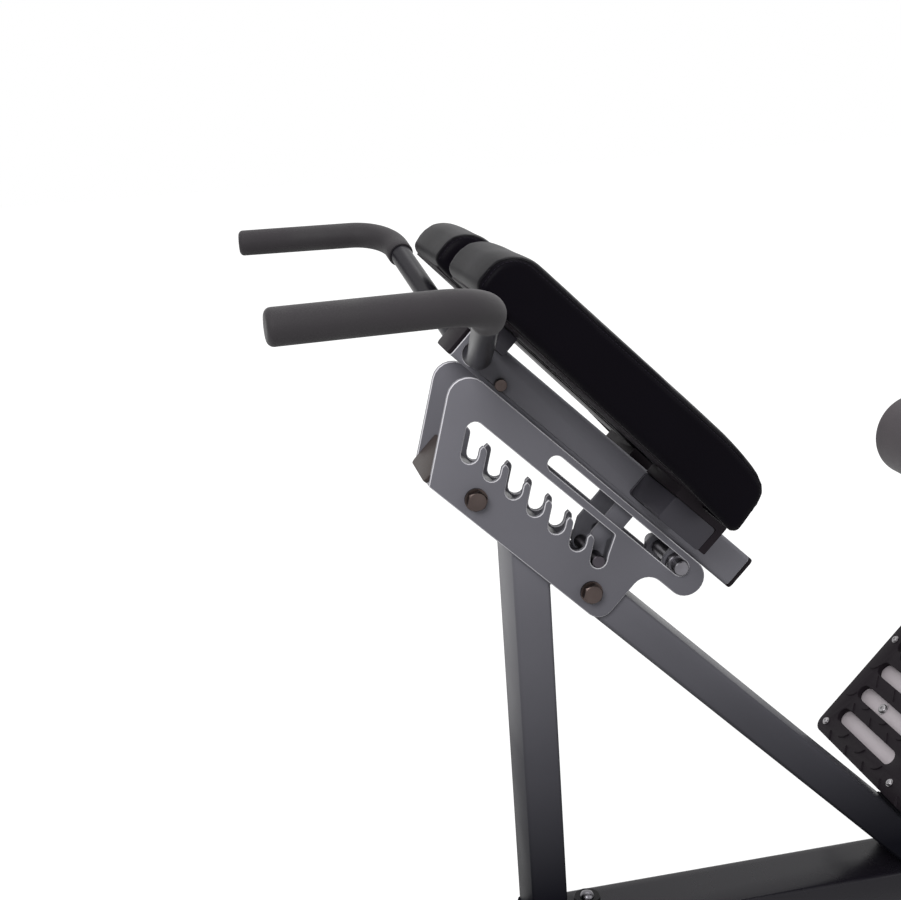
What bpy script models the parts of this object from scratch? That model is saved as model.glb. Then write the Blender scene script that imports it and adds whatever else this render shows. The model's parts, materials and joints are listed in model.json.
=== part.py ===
"""Hyperextension bench: an inclined strut with a sliding, lifting pad carriage.

Metres, +Z up, +X towards the foot plate, +Y to the far side. The origin is on the floor under
the middle of the bench. Everything on the incline is placed in slope coordinates (s, y, n):
s runs down the strut, n stands square to it, and both are zero on the upper through bolt.
"""

import math

import bmesh
import bpy
from mathutils import Matrix, Vector

MM = 0.001
GAP = 0.3 * MM
RUNNING_GAP = 0.08 * MM

# Overall places.
SLOPE = math.radians(45)
FLOOR_TO_BOLT = 612 * MM
BOLT_X = -282.5 * MM

# Main tubes.
TUBE_WIDE = 80 * MM
TUBE_HIGH = 40 * MM
TUBE_WALL = 3 * MM
TUBE_CORNER = 5 * MM

# Feet and base.
FOOT_PAD_HIGH = 11 * MM
FOOT_PAD_RADIUS = 19 * MM
FRONT_FOOT_LENGTH = 300 * MM
REAR_FOOT_LENGTH = 560 * MM
FRONT_FOOT_X = -190 * MM
REAR_FOOT_X = 755 * MM
BASE_OVERHANG = 12 * MM
CAP_THICK = 4 * MM
CAP_PLUG = 12 * MM
SHORT_PLUG = 5 * MM
LEG_X = 55.5 * MM
FOOT_PAD_SHARE = 0.86
STRUT_TOP_S = -48 * MM
BEAM_BOLT_X = 112 * MM
BEAM_BOLT_Y = 18 * MM
BEAM_BOLT_RADIUS = 5 * MM
BEAM_BOLT_PAST = 7 * MM
BEAM_HEAD_RADIUS = 8.5 * MM
BEAM_HEAD_HIGH = 6 * MM
BEAM_WASHER_RADIUS = 15.5 * MM
BEAM_WASHER_THICK = 2.5 * MM

# Latch rod and the notches that hold it, in slope coordinates.
LATCH_RADIUS = 7 * MM
LATCH_GAP = 0.36 * MM
LATCH_EYE = LATCH_RADIUS + 2.5 * MM
NOTCHES = 7
NOTCH_PITCH = 30.5 * MM
NOTCH_FIRST = -35.2 * MM
NOTCH_N = TUBE_HIGH / 2 + LATCH_EYE + 1.5 * MM
NOTCH_PLAY = 2.2 * MM
NOTCH_RADIUS = LATCH_RADIUS + NOTCH_PLAY
NOTCH_LEAN = math.radians(29.7)
TOOTH_TOP = 46.6 * MM
TOOTH_HOOK = 42 * MM
TOOTH_HOOK_OUT = 0.4 * MM
TOOTH_SHOULDER = 7 * MM
TRAVEL = (NOTCHES - 1) * NOTCH_PITCH
NOTCH_LAST = NOTCH_FIRST + TRAVEL
LATCH_REST = (NOTCH_PLAY - LATCH_GAP) * math.sqrt(0.5)
LATCH_S = NOTCH_LAST + LATCH_REST
LATCH_N = NOTCH_N - LATCH_REST
CHANNEL_PLAY = 2 * MM
CHANNEL_TOP = TOOTH_TOP + 2 * LATCH_RADIUS + CHANNEL_PLAY
CHANNEL_LEFT = NOTCH_FIRST - 21.8 * MM
CHANNEL_LEFT_LOW = TOOTH_TOP + 4 * MM
CHANNEL_LEFT_RADIUS = 9 * MM
CHANNEL_RIGHT = NOTCH_LAST - 4.3 * MM

# Side plates, in slope coordinates.
PLATE_THICK = 6 * MM
PLATE_TOP = 96 * MM
PLATE_BOTTOM = -20 * MM
PLATE_LEFT = -46.7 * MM
PLATE_LEAN = math.radians(29.5)
PLATE_RIGHT = NOTCH_LAST + 49.8 * MM
PLATE_TOP_RADIUS = 22 * MM
PLATE_FOOT_RADIUS = 17 * MM
FINGER_LOW = 54.4 * MM
FINGER_CORE = 19.4 * MM
BOLT_PITCH = PLATE_RIGHT - 32.8 * MM
BOLT_RADIUS = 6 * MM
BOLT_FLATS = 19 * MM
BOLT_HEAD_HIGH = 8 * MM
BOLT_NUT_HIGH = 10 * MM
BOLT_END_PAST = 15 * MM
BOLT_WASHER_RADIUS = 12 * MM
BOLT_WASHER_THICK = 2.2 * MM

# Guide rod and its slot.
GUIDE_N = 79.7 * MM
GUIDE_S = PLATE_RIGHT + 27.9 * MM
FINGER_S = GUIDE_S + 12.9 * MM
GUIDE_RADIUS = 8 * MM
GUIDE_PLAY = 1 * MM
GUIDE_SLOT_RADIUS = GUIDE_RADIUS + GUIDE_PLAY
GUIDE_ROD_PAST = 5 * MM

# Carriage, with the root of the handlebar that runs through it.
CARRIAGE_WIDE = 60 * MM
CARRIAGE_LOW = 95.5 * MM
BAR_RADIUS = 12.5 * MM
BAR_ROOT_S = -95 * MM
BAR_ROOT_N = CARRIAGE_LOW + TUBE_WALL + BAR_RADIUS + 1 * MM
BAR_ROOT_Y = 52 * MM
CARRIAGE_UP_END = BAR_ROOT_S - BAR_RADIUS - 10.5 * MM
CARRIAGE_LOW_END = GUIDE_S + 69.5 * MM
LUG_THICK = 6 * MM
LUG_RADIUS = GUIDE_RADIUS + 6 * MM
BUSH_RADIUS = GUIDE_RADIUS + 4 * MM
LATCH_ARM_WIDE = 24 * MM
LATCH_ARM_RIGHT = LATCH_S + 3.9 * MM
LATCH_ARM_LEFT = LATCH_ARM_RIGHT - LATCH_ARM_WIDE
LATCH_ARM_BEND = 52 * MM
BRACKET_S = (132 * MM, 189 * MM)
BRACKET_HIGH = 28 * MM
BRACKET_TOP = 133.7 * MM
BRACKET_REACH = 120 * MM
SADDLE_S = (-119 * MM, -79 * MM)
SADDLE_LOW = BAR_ROOT_N + BAR_RADIUS + 3.5 * MM
SADDLE_REACH = 58 * MM
CARRIAGE_BOLT_S = -54.6 * MM
CARRIAGE_BOLT_N = 105 * MM
CARRIAGE_BOLT_RADIUS = 4 * MM
CARRIAGE_BOLT_HEAD = 7 * MM

# Pads: the underside is a straight line in slope coordinates.
PAD_UP_END = -182 * MM
PAD_LOW_END = 176.5 * MM
PAD_INNER = 28 * MM
PAD_OUTER = 188 * MM
PAD_UNDER = (155.8 * MM, 144.8 * MM)
PAD_TOP_START = 211 * MM
PAD_TOP_BREAK = (121 * MM, 204.6 * MM)
PAD_TOP_END = (168 * MM, 194.5 * MM)
PAD_EDGE = 10 * MM
PAD_CROWN = 3 * MM

# Boards: let into the pads' undersides, with a turned-down rest at the lower end.
BOARD_THICK = 8 * MM
BOARD_INSET = 15 * MM
BOARD_PROUD = 0.8 * MM
REST_START = 130 * MM
REST_INNER = 31 * MM
REST_OUTER = 120 * MM
REST_TIP = 107 * MM
REST_THICK = 8 * MM

# Handlebar and grips.
GRIP_THICK = 2.75 * MM
GRIP_RADIUS = BAR_RADIUS + GRIP_THICK
BAR_WALL = 2 * MM
GRIP_TIP = (-203 * MM, 320 * MM, 242 * MM)
GRIP_CROWN = 9 * MM
GRIP_WALL = 8 * MM
GRIP_PAST_BEND = 18 * MM
BAR_CORNER = (-25 * MM, 304 * MM, 241 * MM)
BAR_BEND = 55 * MM

# Foot plate, post and rollers.
TREAD_S = 644 * MM
TREAD_THICK = 7.5 * MM
STEEL_THICK = 4 * MM
TREAD_HALF_WIDE = 181 * MM
TREAD_LOW = 25 * MM
TREAD_CORNER = 14 * MM
TREAD_MARGIN = 1.5 * MM
TREAD_SLOTS = 7
TREAD_SLOT_FIRST = 61.3 * MM
TREAD_SLOT_PITCH = 39.3 * MM
TREAD_HIGH = 2 * TREAD_SLOT_FIRST - TREAD_LOW + (TREAD_SLOTS - 1) * TREAD_SLOT_PITCH
TREAD_SLOT_RADIUS = 9.9 * MM
TREAD_SLOT_INNER = 22 * MM
TREAD_SLOT_OUTER = 158 * MM
BRACE_HIGH = 30 * MM
BRACE_THICK = 8 * MM
BRACE_REACH = 135 * MM
ARM_SIZE = 2 * BAR_RADIUS + 15 * MM
ROLLER_S = 474 * MM
ROLLER_N = 392 * MM
POST_HIGH = ROLLER_N + ARM_SIZE / 2
ROLLER_RADIUS = 51 * MM
ROLLER_INNER = 38 * MM
ROLLER_OUTER = 188 * MM
ROLLER_RIM = 12 * MM
ROLLER_RIM_STEPS = 3
ROLLER_BORE = BAR_RADIUS + RUNNING_GAP
STOP_RADIUS = 24 * MM
STOP_THICK = 5 * MM

BASE_TOP = FOOT_PAD_HIGH + 2 * TUBE_HIGH
PLATE_Y = TUBE_WIDE / 2 + GAP + PLATE_THICK / 2
PLATE_OUT = PLATE_Y + PLATE_THICK / 2

SMALL_ARC = 3.5 * MM

SLOPE_S = Vector((math.cos(SLOPE), 0, -math.sin(SLOPE)))
SLOPE_N = Vector((math.sin(SLOPE), 0, math.cos(SLOPE)))
WORLD_X = Vector((1, 0, 0))
WORLD_Y = Vector((0, 1, 0))
WORLD_Z = Vector((0, 0, 1))


def clear_scene():
    """Remove every object that the start-up scene brings."""
    for item in list(bpy.data.objects):
        bpy.data.objects.remove(item)


def collection(name, helper=False):
    """Make a collection in the scene; helpers are left out of renders."""
    made = bpy.data.collections.new(name)
    bpy.context.scene.collection.children.link(made)
    made.hide_render = helper
    return made


clear_scene()
PARTS = collection("hyperextension_bench")
CUTTERS = collection("cutters", helper=True)


def on_slope(s, y, n):
    """World place of a point given in slope coordinates."""
    bolt = Vector((BOLT_X, 0, FLOOR_TO_BOLT))
    return bolt + SLOPE_S * s + SLOPE_N * n + WORLD_Y * y


def from_bolt(x, y, z):
    """World place of a point measured level from the upper through bolt."""
    return Vector((BOLT_X + x, y, FLOOR_TO_BOLT + z))


def frame(origin, x_axis, y_axis):
    """Matrix whose local X and Y run along two given directions."""
    z_axis = x_axis.cross(y_axis)
    turn = Matrix((x_axis, y_axis, z_axis)).transposed().to_4x4()
    return Matrix.Translation(origin) @ turn


def side_frame(y, s=0.0, n=0.0):
    """Frame for a profile drawn in slope coordinates; its thickness runs across the bench."""
    return frame(on_slope(s, y, n), SLOPE_S, SLOPE_N)


def section_frame(origin, along):
    """Frame for a tube section: local X is across the bench and the tube runs along local Z."""
    return frame(origin, WORLD_Y, along.cross(WORLD_Y))


def cross_frame(origin):
    """Frame for a round piece whose axis runs across the bench."""
    return frame(origin, WORLD_X, -WORLD_Z)


def material(name, colour, metallic=0.0, roughness=0.5):
    """A plain surface for one sub-part."""
    made = bpy.data.materials.new(name)
    made.use_nodes = True
    shader = made.node_tree.nodes["Principled BSDF"]
    shader.inputs["Base Color"].default_value = (*colour, 1)
    shader.inputs["Metallic"].default_value = metallic
    shader.inputs["Roughness"].default_value = roughness
    return made


GRAPHITE = (0.13, 0.13, 0.15)
BASE_BLACK = (0.03, 0.03, 0.035)
PLASTIC = (0.02, 0.02, 0.02)
ZINC = (0.55, 0.54, 0.52)
VINYL = (0.012, 0.012, 0.014)
RUBBER = (0.02, 0.019, 0.019)
PLATE_GREY = (0.5, 0.48, 0.5)
ROLLER_BROWN = (0.09, 0.08, 0.085)


def paint(name):
    """Satin graphite paint."""
    return material(name, GRAPHITE, 0.3, 0.4)


def dark_paint(name):
    """Satin near-black paint of the base."""
    return material(name, BASE_BLACK, 0.2, 0.35)


def black_paint(name):
    """Satin black paint of the handlebar."""
    return material(name, PLASTIC, 0.1, 0.4)


def plated(name):
    """Zinc-plated steel."""
    return material(name, ZINC, 1.0, 0.3)


def black_plastic(name):
    """Moulded black plastic."""
    return material(name, PLASTIC, 0.0, 0.5)


def tidy_mesh(mesh):
    """Join the loose rims of a mesh and turn its faces outward."""
    work = bmesh.new()
    work.from_mesh(mesh)
    bmesh.ops.remove_doubles(work, verts=work.verts, dist=0.002 * MM)
    bmesh.ops.recalc_face_normals(work, faces=work.faces)
    work.to_mesh(mesh)
    work.free()


def add_object(name, mesh, matrix, surface=None, group=None):
    """Put a mesh into the scene as one named piece."""
    item = bpy.data.objects.new(name, mesh)
    item.matrix_world = matrix
    (group or PARTS).objects.link(item)
    if surface:
        mesh.materials.append(surface)
    if group is CUTTERS:
        item.display_type = "WIRE"
    return item


def mesh_from_curve(name, curve):
    """Turn a curve into a closed mesh and drop the curve."""
    holder = bpy.data.objects.new(name + "_curve", curve)
    PARTS.objects.link(holder)
    graph = bpy.context.evaluated_depsgraph_get()
    mesh = bpy.data.meshes.new_from_object(holder.evaluated_get(graph))
    bpy.data.objects.remove(holder)
    bpy.data.curves.remove(curve)
    mesh.name = name
    tidy_mesh(mesh)
    return mesh


def flat_mesh(name, outlines, thickness):
    """A flat piece of even thickness; outlines after the first are holes."""
    curve = bpy.data.curves.new(name, "CURVE")
    curve.dimensions = "2D"
    curve.fill_mode = "BOTH"
    curve.extrude = thickness / 2
    for outline in outlines:
        spline = curve.splines.new("POLY")
        spline.points.add(len(outline) - 1)
        for point, place in zip(spline.points, outline):
            point.co = (place[0], place[1], 0, 1)
        spline.use_cyclic_u = True
    return mesh_from_curve(name, curve)


def flat_piece(name, outlines, thickness, matrix, surface, group=None):
    """A flat piece placed in the scene, its mid-plane on the frame's XY plane."""
    return add_object(name, flat_mesh(name, outlines, thickness), matrix, surface, group)


def rounded(corners, steps=5):
    """Outline through (a, b, radius) corners, each turned with an arc of its radius."""
    outline = []
    count = len(corners)
    for index, (a, b, radius) in enumerate(corners):
        corner = Vector((a, b))
        before = (Vector(corners[index - 1][:2]) - corner).normalized()
        after = (Vector(corners[(index + 1) % count][:2]) - corner).normalized()
        if radius <= 0:
            outline.append(tuple(corner))
            continue
        half = before.angle(after) / 2
        middle = corner + (before + after).normalized() * (radius / math.sin(half))
        first = corner + before * (radius / math.tan(half))
        last = corner + after * (radius / math.tan(half))
        start = math.atan2(first.y - middle.y, first.x - middle.x)
        sweep = math.atan2(last.y - middle.y, last.x - middle.x) - start
        sweep = (sweep + math.pi) % math.tau - math.pi
        spans = steps if radius > SMALL_ARC else 2
        for step in range(spans + 1):
            angle = start + sweep * step / spans
            outline.append((middle.x + radius * math.cos(angle), middle.y + radius * math.sin(angle)))
    return outline


def circle(a, b, radius, sides=24):
    """Round outline."""
    turns = [math.tau * side / sides for side in range(sides)]
    return [(a + radius * math.cos(turn), b + radius * math.sin(turn)) for turn in turns]


def slot(a_first, a_last, b, radius, steps=8):
    """Outline of a straight slot between two round ends."""
    return rounded([
        (a_first - radius, b - radius, radius),
        (a_last + radius, b - radius, radius),
        (a_last + radius, b + radius, radius),
        (a_first - radius, b + radius, radius),
    ], steps)


def box_outline(width, height, radius):
    """Outline of a rounded rectangle about the origin."""
    a = width / 2
    b = height / 2
    return rounded([(-a, -b, radius), (a, -b, radius), (a, b, radius), (-a, b, radius)], 3)


def tube(name, start, end, width, height, surface, wall=TUBE_WALL, corner=TUBE_CORNER):
    """A hollow rectangular tube with open ends from one point to another."""
    along = (end - start).normalized()
    outer = box_outline(width, height, corner)
    inner = box_outline(width - 2 * wall, height - 2 * wall, corner - wall)
    matrix = section_frame((start + end) / 2, along)
    return flat_piece(name, [outer, inner], (end - start).length, matrix, surface)


def cut(item, cutter, how="DIFFERENCE"):
    """Cut one piece with another, or join a helper solid to it."""
    step = item.modifiers.new(cutter.name, "BOOLEAN")
    step.operation = how
    step.solver = "EXACT"
    step.object = cutter


def cutter_box(name, matrix, size):
    """A box for cutting, about the matrix's origin."""
    work = bmesh.new()
    bmesh.ops.create_cube(work, size=1)
    bmesh.ops.scale(work, vec=size, verts=work.verts)
    mesh = bpy.data.meshes.new(name)
    work.to_mesh(mesh)
    work.free()
    return add_object(name, mesh, matrix, group=CUTTERS)


def rod_mesh(name, radius, length, sides=32, chamfer=0.0):
    """A solid round bar about local Z, centred, with chamfered ends."""
    half = length / 2
    profile = [(0, half), (radius - chamfer, half), (radius, half - chamfer)]
    profile += [(radius, chamfer - half), (radius - chamfer, -half), (0, -half)]
    if not chamfer:
        profile = [(0, half), (radius, half), (radius, -half), (0, -half)]
    return revolved_mesh(name, profile, sides)


def revolved_mesh(name, profile, sides, ring=False):
    """Turn an (r, z) profile about local Z; a ring's profile closes on itself."""
    work = bmesh.new()
    points = [work.verts.new((r, 0, z)) for r, z in profile]
    pairs = list(zip(points, points[1:]))
    if ring:
        pairs.append((points[-1], points[0]))
    for first, second in pairs:
        work.edges.new((first, second))
    bmesh.ops.spin(
        work, geom=work.verts[:] + work.edges[:], cent=(0, 0, 0), axis=(0, 0, 1),
        angle=math.tau, steps=sides, use_merge=True,
    )
    bmesh.ops.remove_doubles(work, verts=work.verts, dist=0.002 * MM)
    bmesh.ops.recalc_face_normals(work, faces=work.faces)
    mesh = bpy.data.meshes.new(name)
    work.to_mesh(mesh)
    work.free()
    return mesh


def smooth(item, angle=math.radians(35)):
    """Shade the round faces of a piece smoothly and keep its edges."""
    item.data.polygons.foreach_set("use_smooth", [True] * len(item.data.polygons))
    item.data.set_sharp_from_angle(angle=angle)
    return item


def round_piece(name, profile, matrix, surface, sides=32, ring=False, group=None):
    """A turned piece placed in the scene."""
    mesh = revolved_mesh(name, profile, sides, ring)
    return smooth(add_object(name, mesh, matrix, surface, group))


def end_cap(name, centre, outward, width, height, wall, surface, plug_deep=CAP_PLUG):
    """Push-in plastic cap of a rectangular tube: a face plate with a hollow plug behind it."""
    matrix = section_frame(centre + outward * (GAP + CAP_THICK / 2), outward)
    item = flat_piece(name, [box_outline(width, height, TUBE_CORNER)], CAP_THICK, matrix, surface)
    plug_wide = width - 2 * wall - 2 * GAP
    plug_high = height - 2 * wall - 2 * GAP
    outer = box_outline(plug_wide, plug_high, 1.7 * MM)
    inner = box_outline(plug_wide - 4 * MM, plug_high - 4 * MM, 1 * MM)
    depth = plug_deep + CAP_THICK / 2
    plug_centre = centre - outward * (plug_deep - depth / 2)
    plug = flat_piece(name + "_plug", [outer, inner], depth, section_frame(plug_centre, outward),
                      None, CUTTERS)
    cut(item, plug, "UNION")
    return item


def parent_to(pivot, items):
    """Hang pieces on an empty that stands on their joint axis."""
    bpy.context.view_layer.update()
    for item in items:
        placed = item.matrix_world.copy()
        item.parent = pivot
        item.matrix_parent_inverse = pivot.matrix_world.inverted()
        item.matrix_world = placed


def pivot_at(name, place):
    """An empty that marks a joint axis."""
    pivot = bpy.data.objects.new(name, None)
    pivot.location = place
    PARTS.objects.link(pivot)
    bpy.context.view_layer.update()
    return pivot


def build_base():
    """Base beam, the two cross feet under it, their caps and rubber pads."""
    beam_z = BASE_TOP - TUBE_HIGH / 2
    foot_z = FOOT_PAD_HIGH + TUBE_HIGH / 2 - GAP
    front_end = BOLT_X + FRONT_FOOT_X - TUBE_WIDE / 2 + BASE_OVERHANG
    rear_end = BOLT_X + REAR_FOOT_X + TUBE_WIDE / 2 - BASE_OVERHANG
    start = Vector((front_end, 0, beam_z))
    end = Vector((rear_end, 0, beam_z))
    beam = tube("base_beam", start, end, TUBE_WIDE, TUBE_HIGH, dark_paint("base_beam"))
    for side in (-1, 1):
        place = from_bolt(BEAM_BOLT_X, side * BEAM_BOLT_Y, 0)
        place.z = beam_z
        hole = frame(place, WORLD_X, WORLD_Y)
        mesh = rod_mesh("beam_hole", BEAM_BOLT_RADIUS + GAP, 3 * TUBE_HIGH, 24)
        cut(beam, add_object(f"beam_hole_{side}", mesh, hole, group=CUTTERS))
    end_cap("base_cap_front", start, -WORLD_X, TUBE_WIDE, TUBE_HIGH, TUBE_WALL,
            black_plastic("base_cap_front"))
    end_cap("base_cap_rear", end, WORLD_X, TUBE_WIDE, TUBE_HIGH, TUBE_WALL,
            black_plastic("base_cap_rear"))
    feet = (("front", FRONT_FOOT_X, FRONT_FOOT_LENGTH), ("rear", REAR_FOOT_X, REAR_FOOT_LENGTH))
    for name, x, length in feet:
        half = WORLD_Y * (length / 2 - CAP_THICK)
        centre = Vector((BOLT_X + x, 0, foot_z))
        cross_foot(name + "_cross_foot", centre, half)
        for side, label in ((-1, "near"), (1, "far")):
            foot_cap(f"{name}_foot_cap_{label}", centre + half * side, side)
            foot_pad(f"{name}_foot_pad_{label}", centre + half * side * FOOT_PAD_SHARE)


def across_frame(centre, outward):
    """Section frame for a tube that runs across the bench: local X is level along the bench."""
    return frame(centre, WORLD_X, outward.cross(WORLD_X))


def cross_foot(name, centre, half):
    """A cross foot: the same tube as the beam, lying across the bench."""
    outer = box_outline(TUBE_WIDE, TUBE_HIGH, TUBE_CORNER)
    inner = box_outline(TUBE_WIDE - 2 * TUBE_WALL, TUBE_HIGH - 2 * TUBE_WALL, TUBE_CORNER - TUBE_WALL)
    matrix = across_frame(centre, WORLD_Y)
    flat_piece(name, [outer, inner], 2 * half.length, matrix, dark_paint(name))


def foot_cap(name, centre, side):
    """Cap of a cross foot."""
    outward = WORLD_Y * side
    matrix = across_frame(centre + outward * (GAP + CAP_THICK / 2), outward)
    surface = black_plastic(name)
    item = flat_piece(name, [box_outline(TUBE_WIDE, TUBE_HIGH, TUBE_CORNER)], CAP_THICK, matrix, surface)
    wide = TUBE_WIDE - 2 * TUBE_WALL - 2 * GAP
    high = TUBE_HIGH - 2 * TUBE_WALL - 2 * GAP
    outer = box_outline(wide, high, 1.7 * MM)
    inner = box_outline(wide - 4 * MM, high - 4 * MM, 1 * MM)
    depth = CAP_PLUG + CAP_THICK / 2
    plug_frame = across_frame(centre - outward * (CAP_PLUG - depth / 2), outward)
    plug = flat_piece(name + "_plug", [outer, inner], depth, plug_frame, None, CUTTERS)
    cut(item, plug, "UNION")


def foot_pad(name, centre):
    """Round rubber pad under a cross foot, slightly wider at the floor."""
    top = FOOT_PAD_HIGH - 2 * GAP
    radius = FOOT_PAD_RADIUS
    profile = [(0, top), (radius - 2 * MM, top), (radius, 2 * MM), (radius - 1.5 * MM, 0), (0, 0)]
    matrix = Matrix.Translation((centre.x, centre.y, 0))
    round_piece(name, profile, matrix, material(name, RUBBER, 0.0, 0.8))


def beam_bolts():
    """Two bolts down through the base beam, each with a wide washer face and a domed head."""
    washer = BEAM_WASHER_THICK
    head = BEAM_HEAD_RADIUS
    rim = BEAM_WASHER_RADIUS
    shank = BEAM_BOLT_RADIUS
    low = -TUBE_HIGH - BEAM_BOLT_PAST
    for side, label in ((-1, "near"), (1, "far")):
        name = f"beam_bolt_{label}"
        place = from_bolt(BEAM_BOLT_X, side * BEAM_BOLT_Y, 0)
        place.z = BASE_TOP + GAP
        profile = [
            (0, washer + BEAM_HEAD_HIGH), (head * 0.47, washer + BEAM_HEAD_HIGH * 0.9),
            (head * 0.82, washer + BEAM_HEAD_HIGH * 0.57), (head, washer + BEAM_HEAD_HIGH * 0.1),
            (head, washer), (rim - 0.5 * MM, washer), (rim, washer - 0.5 * MM),
            (rim, 0), (shank, 0), (shank, low), (0, low),
        ]
        round_piece(name, profile, Matrix.Translation(place), plated(name), 24)


def build_leg():
    """Upright tube between the base beam and the strut."""
    low = from_bolt(LEG_X, 0, 0)
    low.z = BASE_TOP + GAP
    high = from_bolt(LEG_X, 0, 0)
    leg = tube("front_leg", low, high, TUBE_WIDE, TUBE_HIGH, paint("front_leg"))
    leg.matrix_world = section_frame((low + high) / 2, WORLD_Z)
    centre = on_slope(0, 0, -TUBE_HIGH / 2 - GAP + 0.1)
    cut(leg, cutter_box("leg_top_cut", frame(centre, SLOPE_S, WORLD_Y), (0.4, 0.2, 0.2)))


def build_strut():
    """Sloping strut from the plates down to the base beam, with a cap on its upper end."""
    top = on_slope(STRUT_TOP_S, 0, 0)
    reach = (FLOOR_TO_BOLT - BASE_TOP) / math.sin(SLOPE) + 60 * MM
    strut = tube("strut", top, on_slope(reach, 0, 0), TUBE_WIDE, TUBE_HIGH, paint("strut"))
    floor_cut = Vector((BOLT_X + reach * math.cos(SLOPE), 0, BASE_TOP + GAP - 0.1))
    cut(strut, cutter_box("strut_foot_cut", Matrix.Translation(floor_cut), (0.5, 0.2, 0.2)))
    for index in range(2):
        place = on_slope(index * BOLT_PITCH, 0, 0)
        mesh = rod_mesh("strut_hole", BOLT_RADIUS + GAP, 0.12, 24)
        cut(strut, add_object(f"strut_hole_{index}", mesh, cross_frame(place), group=CUTTERS))
    end_cap("strut_cap", top, -SLOPE_S, TUBE_WIDE, TUBE_HIGH, TUBE_WALL, black_plastic("strut_cap"))


def plate_outline():
    """Outside of a side plate: leaning front edge, straight top and the finger at its lower end."""
    lean = math.tan(PLATE_LEAN)
    top_s = PLATE_LEFT - (PLATE_TOP - PLATE_BOTTOM) * lean
    finger = (PLATE_TOP - FINGER_LOW) / 2
    finger_end = FINGER_S + finger
    return rounded([
        (PLATE_LEFT, PLATE_BOTTOM, 2 * MM),
        (PLATE_RIGHT, PLATE_BOTTOM, PLATE_FOOT_RADIUS),
        (PLATE_RIGHT, FINGER_LOW, FINGER_CORE),
        (finger_end, FINGER_LOW, finger),
        (finger_end, PLATE_TOP, finger),
        (top_s, PLATE_TOP, PLATE_TOP_RADIUS),
    ], 7)


def notch_outline():
    """The channel for the latch rod with its leaning notches and hooked teeth."""
    down = Vector((math.sin(NOTCH_LEAN), -math.cos(NOTCH_LEAN)))
    side = Vector((math.cos(NOTCH_LEAN), math.sin(NOTCH_LEAN)))

    def wall_at(centre, sign, n):
        """Place on a notch wall at the height n."""
        on_wall = centre + side * (sign * NOTCH_RADIUS)
        return on_wall.x - down.x * (n - on_wall.y) / -down.y

    corners = [(CHANNEL_LEFT, CHANNEL_TOP, CHANNEL_LEFT_RADIUS)]
    first = Vector((NOTCH_FIRST, NOTCH_N))
    for index in range(NOTCHES):
        centre = first + Vector((index * NOTCH_PITCH, 0))
        if index:
            corners.append((wall_at(centre, -1, TOOTH_TOP), TOOTH_TOP, TOOTH_SHOULDER))
        else:
            corners.append((CHANNEL_LEFT, CHANNEL_LEFT_LOW, 1.5 * MM))
        for sign in (-1, 1):
            low = centre + down * NOTCH_RADIUS + side * (sign * NOTCH_RADIUS)
            corners.append((low.x, low.y, NOTCH_RADIUS * 0.999))
        corners.append((wall_at(centre, 1, TOOTH_HOOK), TOOTH_HOOK, 1.5 * MM))
        if index < NOTCHES - 1:
            corners.append((wall_at(centre, 1, TOOTH_HOOK) + TOOTH_HOOK_OUT, TOOTH_TOP, 0.8 * MM))
    corners.append((CHANNEL_RIGHT, CHANNEL_TOP, 3 * MM))
    return rounded(corners, 4)


def build_plates():
    """The two side plates that carry the guide rod and hold the latch rod."""
    holes = [
        notch_outline(),
        slot(GUIDE_S - TRAVEL - 0.5 * MM, GUIDE_S + 0.5 * MM, GUIDE_N, GUIDE_SLOT_RADIUS, 6),
        circle(0, 0, BOLT_RADIUS + GAP),
        circle(BOLT_PITCH, 0, BOLT_RADIUS + GAP),
    ]
    for side, label in ((-1, "near"), (1, "far")):
        name = f"side_plate_{label}"
        outlines = [plate_outline()] + holes
        flat_piece(name, outlines, PLATE_THICK, side_frame(side * PLATE_Y), paint(name))


def hexagon(across_flats):
    """Outline of a hexagon."""
    radius = across_flats / math.sqrt(3)
    turns = [math.tau * side / 6 for side in range(6)]
    return [(radius * math.cos(turn), radius * math.sin(turn)) for turn in turns]


def hexagon_block(name, across_flats, thickness, matrix, bore=0.0, group=None, surface=None):
    """Hexagonal head or nut with its corners turned off on one face."""
    outlines = [hexagon(across_flats)]
    if bore:
        outlines.append(circle(0, 0, bore))
    item = flat_piece(name, outlines, thickness, matrix, surface, group)
    half = thickness / 2
    radius = across_flats / math.sqrt(3)
    profile = [
        (0, half + GAP), (across_flats * 0.46, half + GAP), (radius + 0.5 * MM, half - 1.9 * MM),
        (radius + 0.5 * MM, -half - GAP), (0, -half - GAP),
    ]
    dome = round_piece(name + "_turning", profile, matrix, None, 24, group=CUTTERS)
    cut(item, dome, "INTERSECT")
    return item


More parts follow.
